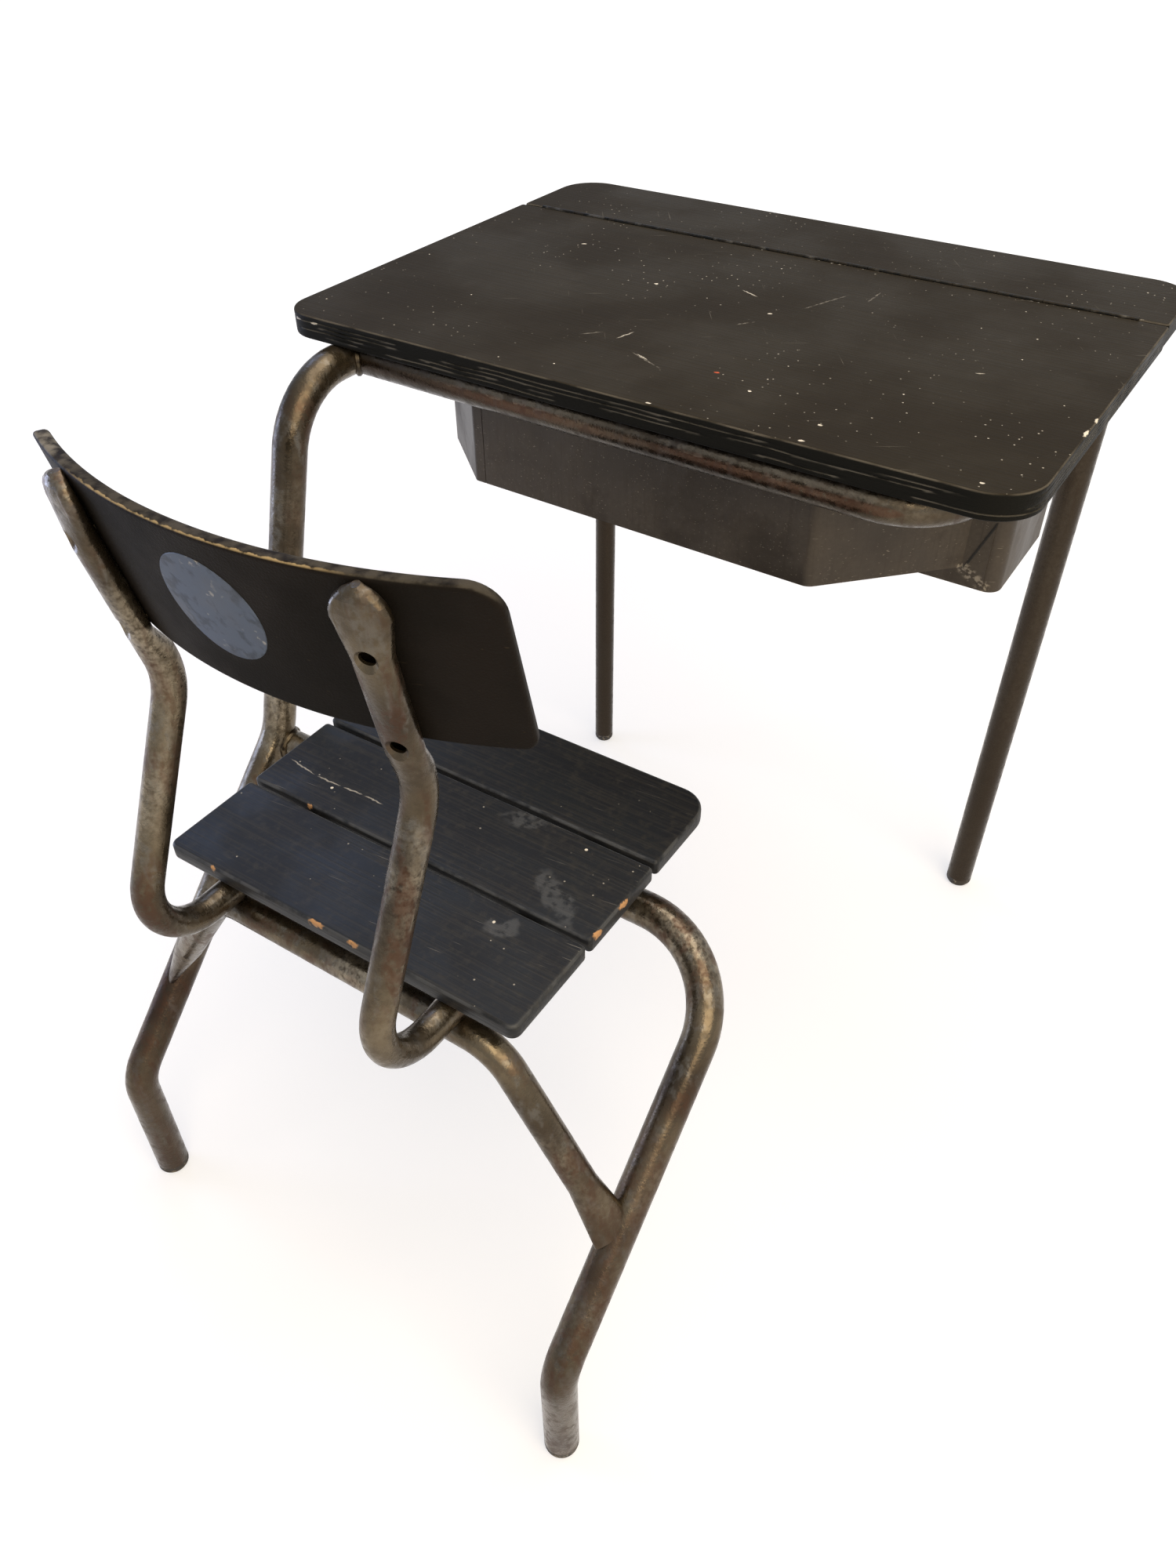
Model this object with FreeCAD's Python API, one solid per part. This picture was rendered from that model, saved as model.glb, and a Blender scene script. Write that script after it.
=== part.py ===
import FreeCAD, Part
import math
import os

# School desk with a joined chair, in millimetres, +Z up, standing on the floor at zero.
# X runs to the pupil's right from the middle of the table. Y runs away from the pupil and
# is measured from the front edge of the table until the whole desk is centred at export.

# Table boards
table_height = 740.0
board_width = 650.0
board_thickness = 20.0
lid_depth = 359.5
rear_board_depth = 109.0
rear_board_inset = 1.0
lid_left_corner = 30.0
lid_right_corner = 38.0
rear_board_corner = 38.0
lid_rest_gap = 0.3

# Hinge in the seam between the boards
hinge_length = 600.0
hinge_leaf_height = 16.0
hinge_leaf_thickness = 1.0
hinge_leaf_gap = 1.0
hinge_knuckle_diameter = 3.6
hinge_pin_diameter = 1.8
hinge_pin_clearance = 0.05
hinge_knuckle_count = 15
hinge_knuckle_gap = 0.4
hinge_swing_clearance = 0.3
hinge_screw_diameter = 2.5
hinge_screw_head_diameter = 4.6
hinge_screw_length = 16.0
hinge_screw_drop = 9.0

# Steel tube
tube_diameter = 30.0
tube_wall = 2.0
thin_tube_diameter = 25.0
back_tube_diameter = 24.0
weld_gap = 0.2

# Desk frame
left_plane_x = 267.0
right_rail_x = 274.0
front_rail_left_y = 26.0
front_rail_right_y = 18.0
front_rail_bend = 60.0
rear_leg_y = 434.0
rear_leg_bend = 40.0
far_right_foot_x = 270.0
far_left_foot_x = -269.0
post_top_reach = 53.0
post_top_bend = 72.0
post_foot_reach = 144.0
post_foot_rise = 13.0
post_foot_bend = 60.0
left_foot_reach = 396.0
left_knee_height = 148.0
knee_bend = 50.0

# Foot plugs
plug_height = 10.0
plug_stem = 22.0
plug_clearance = 0.2
plug_edge = 5.0
rail_plug_head = 3.0

# Tabs and screws that hold the rear board
tab_length = 36.0
tab_width = 20.0
tab_thickness = 3.0
tab_side_y = 384.0
tab_middle_x = 115.0
tab_screw_diameter = 4.0
tab_screw_head_diameter = 8.0
tab_screw_head_height = 2.5
tab_screw_length = 15.0

# Sheet steel tray
sheet = 1.2
tray_floor_height = 594.0
shelf_height = 610.0
apron_left_x = 154.0
apron_right_x = 169.0
left_wing_end_x = 222.0
left_wing_end_y = 99.0
wing_lap = 10.0
wing_seam = 0.6
wing_corner = 4.0
tray_step_y = 128.0
tray_straight_end_y = 238.0
tray_corner = 12.0
tray_left_corner = 2.0
flap_width = 18.0
flap_top_height = 654.0
flap_bottom_height = 598.0

# Chair frame
right_leg_x = 220.0
seat_tube_reach = 142.0
seat_tube_height = 387.0
seat_tube_bend = 82.0
right_foot_reach = 402.0
right_knee_height = 135.0
brace_setback = 320.0
brace_half_span = 140.0
brace_bend = 45.0
brace_end_rise = 12.0
brace_flare_length = 55.0
brace_flare_width = 38.0
brace_flare_thickness = 12.0

# Back tubes
back_middle_x = -30.5
back_tube_spacing = 220.0
back_top_splay = 5.25
back_tube_front_reach = 62.0
back_u_reach = 421.0
back_u_bend = 47.0
back_s_reach = 323.0
back_s_rise = 210.0
back_s_bend = 56.0
back_top_reach = 358.75
back_upper_rise = 164.0
press_start_rise = 24.0
strap_low_drop = 2.0
strap_high_drop = 44.0
strap_width = 25.5
strap_thickness = 17.6
strap_face = 5.5
strap_fit = 0.15
paddle_width = 36.0
paddle_thickness = 14.5
paddle_tip_width = 5.0
paddle_tip_thickness = 6.0
dome_steps = 6

# Backrest panel
backrest_radius = 380.0
backrest_middle_x = -29.0
backrest_width = 360.0
backrest_thickness = 10.0
backrest_top_rise = 3.5
backrest_bottom_rise = 44.0
backrest_top_corner = 21.0
backrest_bottom_corner = 10.0
backrest_screw_upper_drop = 45.0
backrest_screw_lower_rise = 7.0
backrest_screw_diameter = 5.0
backrest_screw_head_diameter = 9.0
backrest_screw_head_height = 2.5
backrest_screw_head_seat = 2.2
backrest_screw_bite = 7.0
backrest_screw_clearance = 0.1
backrest_access_diameter = 10.0
backrest_dimple_diameter = 18.0
backrest_dimple_depth = 3.0

# Seat slats
seat_middle_x = -27.5
seat_width = 342.0
seat_front_setback = 48.0
slat_depth = 91.3
slat_gap = 4.5
slat_thickness = 14.5
seat_front_corner = 26.0
seat_rear_corner = 8.0
slat_screw_diameter = 5.0
slat_screw_head_diameter = 10.0
slat_screw_head_height = 3.0
slat_screw_seat = 1.2
slat_screw_bite = 9.0

# Cuts run past the solid by this much
overrun = 20.0

# Places worked out from the sizes above
tube_radius = tube_diameter / 2
thin_tube_radius = thin_tube_diameter / 2
back_tube_radius = back_tube_diameter / 2
seam_gap = 2 * hinge_leaf_thickness + hinge_leaf_gap
seam_y = lid_depth + seam_gap / 2
table_back_y = lid_depth + seam_gap + rear_board_depth
board_bottom = table_height - board_thickness
rail_top = board_bottom - lid_rest_gap
rail_height = rail_top - tube_radius
cross_rail_height = rail_top - thin_tube_radius
chair_middle_x = (right_leg_x - left_plane_x) / 2
post_foot_height = seat_tube_height + post_foot_rise
bearer_height = seat_tube_height + tube_radius + back_tube_radius
back_s_height = bearer_height + back_s_rise
back_top_height = back_s_height + back_upper_rise
backrest_top_height = back_top_height + backrest_top_rise
backrest_bottom_height = back_s_height + backrest_bottom_rise
brace_height = seat_tube_height + tube_radius - thin_tube_radius
slat_bottom = bearer_height + back_tube_radius
backrest_reach = backrest_radius + strap_face + strap_fit
slat_pitch = slat_depth + slat_gap
desk_middle_y = (table_back_y - right_foot_reach - tube_radius) / 2


def point(x, y, z):
    return FreeCAD.Vector(x, y, z)


def box_between(low, high):
    return Part.makeBox(high.x - low.x, high.y - low.y, high.z - low.z, low)


def rod(start, end, diameter):
    return Part.makeCylinder(diameter / 2, start.distanceToPoint(end), start, end - start)


def joined(shapes):
    whole = shapes[0].multiFuse(shapes[1:])
    return whole.removeSplitter()


def prism(wire, height):
    return Part.Face(wire).extrude(point(0, 0, height))


# A closed outline with each corner rounded by its own radius, or sharp where that is zero.
def rounded_outline(corners, radii):
    edges = []
    ends = []
    for index, corner in enumerate(corners):
        before = (corners[index - 1] - corner).normalize()
        after = (corners[(index + 1) % len(corners)] - corner).normalize()
        half_angle = before.getAngle(after) / 2
        reach = radii[index] / math.tan(half_angle)
        middle = corner + (before + after).normalize() * (radii[index] / math.sin(half_angle) - radii[index])
        ends.append((corner + before * reach, middle, corner + after * reach))
    for index, (start, middle, end) in enumerate(ends):
        if radii[index] > 0:
            edges.append(Part.Arc(start, middle, end).toShape())
        edges.append(Part.LineSegment(end, ends[(index + 1) % len(ends)][0]).toShape())
    return Part.Wire(edges)


# The centre line of a bent tube: straight runs joined by tangent arcs.
def tube_path(corners, bends):
    edges = []
    start = corners[0]
    for before, corner, after, bend in zip(corners, corners[1:], corners[2:], bends):
        back = (before - corner).normalize()
        ahead = (after - corner).normalize()
        half_angle = back.getAngle(ahead) / 2
        reach = bend / math.tan(half_angle)
        middle = corner + (back + ahead).normalize() * (bend / math.sin(half_angle) - bend)
        edges.append(Part.LineSegment(start, corner + back * reach).toShape())
        edges.append(Part.Arc(corner + back * reach, middle, corner + ahead * reach).toShape())
        start = corner + ahead * reach
    edges.append(Part.LineSegment(start, corners[-1]).toShape())
    return Part.Wire(edges)


def swept_round(path, diameter):
    first = path.Edges[0]
    ring = Part.makeCircle(diameter / 2, first.valueAt(first.FirstParameter),
                           first.tangentAt(first.FirstParameter))
    return path.makePipeShell([Part.Wire(ring)], True, False)


# A bent steel tube and the solid bar of the same outside, which other tubes are notched to.
def bent_tube(corners, bends, diameter):
    path = tube_path(corners, bends)
    bar = swept_round(path, diameter)
    bore = swept_round(path, diameter - 2 * tube_wall)
    return bar.cut(bore), bar


# A plug in the lower end of an upright tube, with a rounded foot.
def foot_plug(x, y, diameter):
    head = Part.makeCylinder(diameter / 2, plug_height, point(x, y, 0))
    head = head.makeFillet(plug_edge, [edge for edge in head.Edges if edge.BoundBox.ZMax < plug_edge])
    stem_diameter = diameter - 2 * tube_wall - 2 * plug_clearance
    return joined([head, rod(point(x, y, 0), point(x, y, plug_stem), stem_diameter)])


def left_frame_tube():
    corners = [
        point(-left_plane_x, rear_leg_y + tube_radius, rail_height),
        point(-left_plane_x, -post_top_reach, rail_height),
        point(-left_plane_x, -post_foot_reach, post_foot_height),
        point(-left_plane_x, -left_foot_reach, left_knee_height),
        point(-left_plane_x, -left_foot_reach, plug_height),
    ]
    return bent_tube(corners, [post_top_bend, post_foot_bend, knee_bend], tube_diameter)


# Height cut that leaves an upright tube standing on its foot plug.
def cut_above_plug(tube, foot):
    reach = tube_diameter + overrun
    below = box_between(point(foot.x - reach, foot.y - reach, -overrun),
                        point(foot.x + reach, foot.y + reach, plug_height))
    return tube.cut(below)


def right_frame_tube(left_bar):
    foot = point(far_right_foot_x, rear_leg_y, 0)
    corners = [
        point(-left_plane_x, front_rail_left_y, rail_height),
        point(right_rail_x, front_rail_right_y, rail_height),
        point(right_rail_x, rear_leg_y, rail_height),
        foot,
    ]
    tube, bar = bent_tube(corners, [front_rail_bend, rear_leg_bend], tube_diameter)
    return cut_above_plug(tube.cut(left_bar), foot), bar


def far_left_leg(left_bar):
    foot = point(far_left_foot_x, rear_leg_y, 0)
    head = point(-left_plane_x, rear_leg_y, rail_height)
    tube, bar = bent_tube([foot, head], [], thin_tube_diameter)
    return cut_above_plug(tube.cut(left_bar), foot)


def rear_cross_rail(left_bar, right_bar):
    left_end = point(-left_plane_x, seam_y, cross_rail_height)
    right_end = point(right_rail_x, seam_y, cross_rail_height)
    tube, bar = bent_tube([left_end, right_end], [], thin_tube_diameter)
    return tube.cut(left_bar).cut(right_bar), bar


def left_rail_plug():
    end_y = rear_leg_y + tube_radius
    bore = tube_diameter - 2 * tube_wall - 2 * plug_clearance
    head = rod(point(-left_plane_x, end_y, rail_height),
               point(-left_plane_x, end_y + rail_plug_head, rail_height), tube_diameter)
    stem = rod(point(-left_plane_x, end_y - plug_stem, rail_height),
               point(-left_plane_x, end_y, rail_height), bore)
    return joined([head, stem])


# Chair front tube, which turns down at the right into the right chair leg.
def chair_front_tube(left_bar):
    corners = [
        point(-left_plane_x, -seat_tube_reach, seat_tube_height),
        point(right_leg_x, -seat_tube_reach, seat_tube_height),
        point(right_leg_x, -right_foot_reach, right_knee_height),
        point(right_leg_x, -right_foot_reach, plug_height),
    ]
    tube, bar = bent_tube(corners, [seat_tube_bend, knee_bend], tube_diameter)
    return tube.cut(left_bar), bar


# Height of a slanted chair leg's centre line where the brace meets it.
def leg_height_at_brace(head_reach, head_height, foot_reach, knee_height):
    share = (brace_setback - head_reach) / (foot_reach - head_reach)
    return head_height + (knee_height - head_height) * share


# Cross-section wire set square to an axis, with its long side along a given direction.
def set_square(wire, centre, axis, long_side):
    across = axis.cross(long_side).normalize()
    along = across.cross(axis).normalize()
    placed = wire.copy()
    placed.Placement = FreeCAD.Placement(centre, FreeCAD.Rotation(along, across, axis, "ZXY"))
    return placed


# One flattened end of the brace, from the round tube to a flat oval along the leg.
def brace_flare(corner, end, leg_direction):
    axis = (end - corner).normalize()
    start = end - axis * brace_flare_length
    round_end = Part.Wire(Part.makeCircle(thin_tube_radius))
    oval = Part.Ellipse(point(0, 0, 0), brace_flare_width / 2, brace_flare_thickness / 2)
    sections = [set_square(round_end, start, axis, leg_direction),
                set_square(Part.Wire(oval.toShape()), end, axis, leg_direction)]
    return start, Part.makeLoft(sections, True)


def chair_rear_brace(left_bar, right_bar):
    left_height = leg_height_at_brace(post_foot_reach, post_foot_height, left_foot_reach, left_knee_height)
    right_height = leg_height_at_brace(seat_tube_reach, seat_tube_height,
                                       right_foot_reach, right_knee_height)
    left_end = point(-left_plane_x, -brace_setback, left_height + brace_end_rise)
    right_end = point(right_leg_x, -brace_setback, right_height + brace_end_rise)
    left_corner = point(chair_middle_x - brace_half_span, -brace_setback, brace_height)
    right_corner = point(chair_middle_x + brace_half_span, -brace_setback, brace_height)
    left_slope = point(0, post_foot_reach - left_foot_reach, left_knee_height - post_foot_height)
    right_slope = point(0, seat_tube_reach - right_foot_reach, right_knee_height - seat_tube_height)
    left_start, left_flare = brace_flare(left_corner, left_end, left_slope)
    right_start, right_flare = brace_flare(right_corner, right_end, right_slope)
    corners = [left_start, left_corner, right_corner, right_start]
    tube, bar = bent_tube(corners, [brace_bend, brace_bend], thin_tube_diameter)
    return joined([tube, left_flare, right_flare]).cut(left_bar).cut(right_bar)


# Round or flattened section of a tube, of four arcs that match one to one.
def section_wire(half_width, half_depth):
    diagonal_share = math.sqrt(2) / 2
    corner_x = half_width * diagonal_share
    corner_y = half_depth * diagonal_share
    corners = [point(corner_x, -corner_y, 0), point(corner_x, corner_y, 0),
               point(-corner_x, corner_y, 0), point(-corner_x, -corner_y, 0)]
    middles = [point(half_width, 0, 0), point(0, half_depth, 0),
               point(-half_width, 0, 0), point(0, -half_depth, 0)]
    edges = []
    for index, middle in enumerate(middles):
        edges.append(Part.Arc(corners[index], middle, corners[(index + 1) % len(corners)]).toShape())
    return Part.Wire(edges)


# Directions of one pressed end: up along the leaning tube, across its face and out to the panel.
def paddle_directions(side):
    up = point(side * back_top_splay, back_s_reach - back_top_reach, back_upper_rise).normalize()
    turn = math.asin(back_tube_spacing / 2 / backrest_reach)
    across = point(math.cos(turn), side * math.sin(turn), 0)
    across = (across - up * across.dot(up)).normalize()
    return up, across, up.cross(across)


def back_tube_x(side):
    return back_middle_x + side * back_tube_spacing / 2


# Point on the centre line of the leaning upper run of a back tube at a given height.
def upper_run_point(side, height):
    share = (height - back_s_height) / back_upper_rise
    reach = back_s_reach + (back_top_reach - back_s_reach) * share
    return point(back_tube_x(side) + side * back_top_splay * share, -reach, height)


# An oval section of a back tube's pressed end, flush with the strap's face towards the panel.
def pressed_section(side, height, width, thickness, wall):
    up, across, out = paddle_directions(side)
    centre = upper_run_point(side, height) + out * (strap_face - thickness / 2)
    return set_square(section_wire(width / 2 - wall, thickness / 2 - wall), centre, up, across)


# Height, width and thickness of a pressed end's sections, from the strap up to the domed tip.
def pressed_stages():
    dome_radius = paddle_width / 2
    dome_height = back_top_height - dome_radius
    stages = [(backrest_bottom_height - strap_low_drop, strap_width, strap_thickness),
              (back_top_height - strap_high_drop, strap_width, strap_thickness)]
    for step in range(dome_steps):
        turn = math.pi / 2 * step / dome_steps
        thickness = paddle_tip_thickness + (paddle_thickness - paddle_tip_thickness) * math.cos(turn)
        stages.append((dome_height + dome_radius * math.sin(turn), paddle_width * math.cos(turn), thickness))
    stages.append((back_top_height, paddle_tip_width, paddle_tip_thickness))
    return stages


# A solid that runs from the round tube through the pressed sections, inset by a wall.
def pressed_run(side, start, stages, wall):
    up, across, out = paddle_directions(side)
    radius = back_tube_radius - wall
    sections = [set_square(section_wire(radius, radius), start, up, across)]
    for height, width, thickness in stages:
        sections.append(pressed_section(side, height, width, thickness, wall))
    return joined([Part.makeLoft([low, high], True) for low, high in zip(sections, sections[1:])])


# The top of a back tube, pressed to a hollow oval strap that widens to a paddle with a domed end.
# The wall is dented inwards round each screw.
def paddle(side, start):
    stages = pressed_stages()
    outside = pressed_run(side, start, stages, 0)
    hollow = [stage for stage in stages if stage[1] > paddle_width / 2]
    shell = outside.cut(pressed_run(side, start, hollow, tube_wall))
    cups = [backrest_cup(side, place).common(outside) for place in backrest_screw_places(side)]
    return joined([shell] + cups)


def backrest_screw_places(side):
    up, across, out = paddle_directions(side)
    heights = [backrest_top_height - backrest_screw_upper_drop,
               backrest_bottom_height + backrest_screw_lower_rise]
    return [upper_run_point(side, height) + out * strap_face for height in heights]


# A screw through the pressed strap into the panel, its head sunk in the strap.
def backrest_screw(side, place):
    up, across, out = paddle_directions(side)
    under_head = place - out * backrest_screw_head_seat
    tip = place + out * backrest_screw_bite
    head = rod(under_head - out * backrest_screw_head_height, under_head, backrest_screw_head_diameter)
    return joined([head, rod(under_head, tip, backrest_screw_diameter)])


# A cone from the back of the strap inwards, its two ends wider than the dent by a given wall.
def backrest_dent(side, place, wall):
    up, across, out = paddle_directions(side)
    return Part.makeCone(backrest_dimple_diameter / 2 + wall, backrest_access_diameter / 2 + wall,
                         backrest_dimple_depth + wall, place - out * strap_thickness, out)


# The metal round a dent, before the dent itself is cut.
def backrest_cup(side, place):
    return backrest_dent(side, place, tube_wall)


# The hole in the back of the strap that the screw goes in by, dented at its mouth.
def backrest_access(side, place):
    up, across, out = paddle_directions(side)
    mouth = place - out * (strap_thickness + overrun)
    seat = place - out * (backrest_screw_head_seat - backrest_screw_clearance)
    hole = rod(mouth, seat, backrest_access_diameter)
    shaft = rod(mouth, place + out * overrun, backrest_screw_diameter + 2 * backrest_screw_clearance)
    return joined([hole, shaft, backrest_dent(side, place, 0)])


# A back tube: seat bearer, U bend, S bend and pressed top.
def back_tube(side):
    x = back_tube_x(side)
    press_start = upper_run_point(side, back_s_height + press_start_rise)
    corners = [
        point(x, -back_tube_front_reach, bearer_height),
        point(x, -back_u_reach, bearer_height),
        point(x, -back_s_reach, back_s_height),
        press_start,
    ]
    tube, bar = bent_tube(corners, [back_u_bend, back_s_bend], back_tube_diameter)
    whole = joined([tube, paddle(side, press_start)])
    for place in backrest_screw_places(side):
        whole = whole.cut(backrest_access(side, place))
    for screw in slat_screws(side):
        whole = whole.cut(screw)
    return whole


# Centre of the backrest's curve at a given height, where the panel touches both straps.
def backrest_centre(height):
    place = upper_run_point(1, height)
    half = place.x - back_middle_x
    return point(back_middle_x, place.y + math.sqrt(backrest_reach ** 2 - half ** 2), height)


# Curved plywood panel that leans with the back tubes and lies against both straps.
def backrest_panel():
    centre = backrest_centre(backrest_bottom_height)
    lean = backrest_centre(backrest_top_height) - centre
    half_angle = math.asin((backrest_width / 2 + overrun) / backrest_radius)
    directions = [point(math.sin(angle), -math.cos(angle), 0) for angle in (-half_angle, 0, half_angle)]
    back = [centre + direction * backrest_radius for direction in directions]
    front = [centre + direction * (backrest_radius - backrest_thickness) for direction in directions]
    outline = Part.Wire([
        Part.Arc(back[0], back[1], back[2]).toShape(),
        Part.LineSegment(back[2], front[2]).toShape(),
        Part.Arc(front[2], front[1], front[0]).toShape(),
        Part.LineSegment(front[0], back[0]).toShape(),
    ])
    panel = Part.Face(outline).extrude(lean)
    left = backrest_middle_x - backrest_width / 2
    right = backrest_middle_x + backrest_width / 2
    near = -back_u_reach
    corners = [point(left, near, backrest_bottom_height), point(right, near, backrest_bottom_height),
               point(right, near, backrest_top_height), point(left, near, backrest_top_height)]
    radii = [backrest_bottom_corner, backrest_bottom_corner, backrest_top_corner, backrest_top_corner]
    window = Part.Face(rounded_outline(corners, radii))
    panel = panel.common(window.extrude(point(0, back_u_reach, 0)))
    for side in (-1, 1):
        for place in backrest_screw_places(side):
            panel = panel.cut(backrest_screw(side, place))
    return panel


def slat_front_y(index):
    return -seat_front_setback - index * slat_pitch


# One seat slat across the bearers, counted from the front.
def seat_slat(index):
    left = seat_middle_x - seat_width / 2
    right = seat_middle_x + seat_width / 2
    front = slat_front_y(index)
    rear = front - slat_depth
    front_corner = seat_front_corner if index == 0 else 0
    rear_corner = seat_rear_corner if index == 2 else 0
    corners = [point(left, rear, slat_bottom), point(right, rear, slat_bottom),
               point(right, front, slat_bottom), point(left, front, slat_bottom)]
    slat = prism(rounded_outline(corners, [rear_corner, rear_corner, front_corner, front_corner]),
                 slat_thickness)
    for side in (-1, 1):
        slat = slat.cut(slat_screw(side, index))
    return slat


# A screw up through a bearer into one slat, its head in a spot face under the tube.
def slat_screw(side, index):
    x = back_tube_x(side)
    y = slat_front_y(index) - slat_depth / 2
    seat = bearer_height - back_tube_radius + slat_screw_seat
    head = rod(point(x, y, seat - slat_screw_head_height), point(x, y, seat), slat_screw_head_diameter)
    shank = rod(point(x, y, seat), point(x, y, slat_bottom + slat_screw_bite), slat_screw_diameter)
    return joined([head, shank])


def slat_screws(side):
    return [slat_screw(side, index) for index in range(3)]


# The round groove along the seam that the hinge knuckles turn in.
def hinge_groove(clearance):
    diameter = hinge_knuckle_diameter + 2 * clearance
    half = board_width / 2 + overrun
    return rod(point(-half, seam_y, table_height), point(half, seam_y, table_height), diameter)


def lid_board():
    half = board_width / 2
    corners = [point(-half, 0, board_bottom), point(half, 0, board_bottom),
               point(half, lid_depth, board_bottom), point(-half, lid_depth, board_bottom)]
    board = prism(rounded_outline(corners, [lid_left_corner, lid_right_corner, 0, 0]), board_thickness)
    board = board.cut(hinge_groove(hinge_swing_clearance))
    for screw in hinge_screws(-1):
        board = board.cut(screw)
    return board


def rear_board():
    half = board_width / 2 - rear_board_inset
    front = lid_depth + seam_gap
    corners = [point(-half, front, board_bottom), point(half, front, board_bottom),
               point(half, table_back_y, board_bottom), point(-half, table_back_y, board_bottom)]
    outline = rounded_outline(corners, [0, 0, rear_board_corner, rear_board_corner])
    board = prism(outline, board_thickness).cut(hinge_groove(hinge_swing_clearance))
    for screw in hinge_screws(1) + [tab_screw(place) for place in tab_places()]:
        board = board.cut(screw)
    return board


# One hinge leaf on a board edge. Side -1 is the lid, 1 is the rear board.
def hinge_leaf(side):
    half = hinge_length / 2
    pitch = hinge_length / hinge_knuckle_count
    inner = seam_y + side * hinge_leaf_gap / 2
    outer = inner + side * hinge_leaf_thickness
    low = point(-half, min(inner, outer), table_height - hinge_leaf_height)
    leaf = box_between(low, point(half, max(inner, outer), table_height))
    clear_diameter = hinge_knuckle_diameter + 2 * hinge_swing_clearance
    first_own = 0 if side > 0 else 1
    for index in range(hinge_knuckle_count):
        start = point(-half + index * pitch, seam_y, table_height)
        end = start + point(pitch, 0, 0)
        if index % 2 != first_own:
            leaf = leaf.cut(rod(start, end, clear_diameter))
    for index in range(first_own, hinge_knuckle_count, 2):
        start = point(-half + index * pitch + hinge_knuckle_gap / 2, seam_y, table_height)
        end = start + point(pitch - hinge_knuckle_gap, 0, 0)
        leaf = leaf.fuse(rod(start, end, hinge_knuckle_diameter))
    bore = hinge_pin_diameter + 2 * hinge_pin_clearance
    leaf = leaf.cut(rod(point(-half - overrun, seam_y, table_height),
                        point(half + overrun, seam_y, table_height), bore))
    for screw in hinge_screws(side):
        leaf = leaf.cut(screw)
    return leaf.removeSplitter()


def hinge_pin():
    half = hinge_length / 2
    return rod(point(-half, seam_y, table_height), point(half, seam_y, table_height), hinge_pin_diameter)


# Countersunk screws that hold one leaf to its board edge, under every second knuckle.
def hinge_screws(side):
    pitch = hinge_length / hinge_knuckle_count
    screws = []
    for index in range(1, hinge_knuckle_count, 2):
        face = point(-hinge_length / 2 + (index + 1 / 2) * pitch, seam_y + side * hinge_leaf_gap / 2,
                     table_height - hinge_screw_drop)
        inward = point(0, side, 0)
        head = Part.makeCone(hinge_screw_head_diameter / 2, hinge_screw_diameter / 2,
                             hinge_leaf_thickness, face, inward)
        shank = rod(face + inward * hinge_leaf_thickness, face + inward * hinge_screw_length,
                    hinge_screw_diameter)
        screws.append(joined([head, shank]))
    return screws


# Where each tab leaves its tube, and the way it points.
def tab_places():
    return [
        (point(-left_plane_x, tab_side_y, board_bottom), point(1, 0, 0)),
        (point(right_rail_x, tab_side_y, board_bottom), point(-1, 0, 0)),
        (point(-tab_middle_x, seam_y, board_bottom), point(0, 1, 0)),
        (point(tab_middle_x, seam_y, board_bottom), point(0, 1, 0)),
    ]


# A flat tab welded to a tube, with its screw hole, its top against the rear board.
def board_tab(place, bars):
    root, inward = place
    across = point(-inward.y, inward.x, 0)
    corners = [root + across * (tab_width / 2), root - across * (tab_width / 2),
               root - across * (tab_width / 2) + inward * tab_length,
               root + across * (tab_width / 2) + inward * tab_length]
    outline = rounded_outline(corners, [0, 0, tab_width / 4, tab_width / 4])
    tab = prism(outline, -tab_thickness)
    for bar in bars:
        tab = tab.cut(bar)
    largest = max(tab.Solids, key=lambda solid: solid.Volume)
    return largest.cut(tab_screw(place))


def tab_screw(place):
    root, inward = place
    centre = root + inward * (tab_length - tab_width / 2)
    under = centre - point(0, 0, tab_thickness)
    head = rod(under - point(0, 0, tab_screw_head_height), under, tab_screw_head_diameter)
    return joined([head, rod(under, under + point(0, 0, tab_screw_length), tab_screw_diameter)])


# Outer faces of the tray, set outside the right rail and in front of the cross rail.
tray_left_x = -left_wing_end_x
tray_right_x = right_rail_x + tube_radius + weld_gap + sheet
tray_back_y = seam_y - thin_tube_radius - weld_gap
right_wing_end_x = right_rail_x - tube_radius - weld_gap
tray_low_top = rail_height - tube_radius - weld_gap
tray_cut_run = tray_back_y - tray_straight_end_y


def tray_outline(height):
    corners = [
        point(tray_left_x, tray_step_y, height),
        point(tray_right_x, tray_step_y, height),
        point(tray_right_x, tray_straight_end_y, height),
        point(tray_right_x - tray_cut_run, tray_back_y, height),
        point(tray_left_x + tray_cut_run, tray_back_y, height),
        point(tray_left_x, tray_straight_end_y, height),
    ]
    return rounded_outline(corners, [tray_left_corner, tray_corner, 0, 0, 0, 0])


def tray_inside(height):
    return Part.Face(tray_outline(height)).makeOffset2D(-sheet, 2)


def tray_wall(low, high):
    outer = prism(tray_outline(low), high - low)
    return outer.cut(tray_inside(low).extrude(point(0, 0, high - low)))


# The tray walls inside a plan rectangle, between two heights.
def tray_wall_part(left, right, front, back, low, high):
    window = box_between(point(left, front, low), point(right, back, high))
    return tray_wall(low, high).common(window)


def tray_floor():
    return tray_inside(tray_floor_height).extrude(point(0, 0, sheet))


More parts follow.
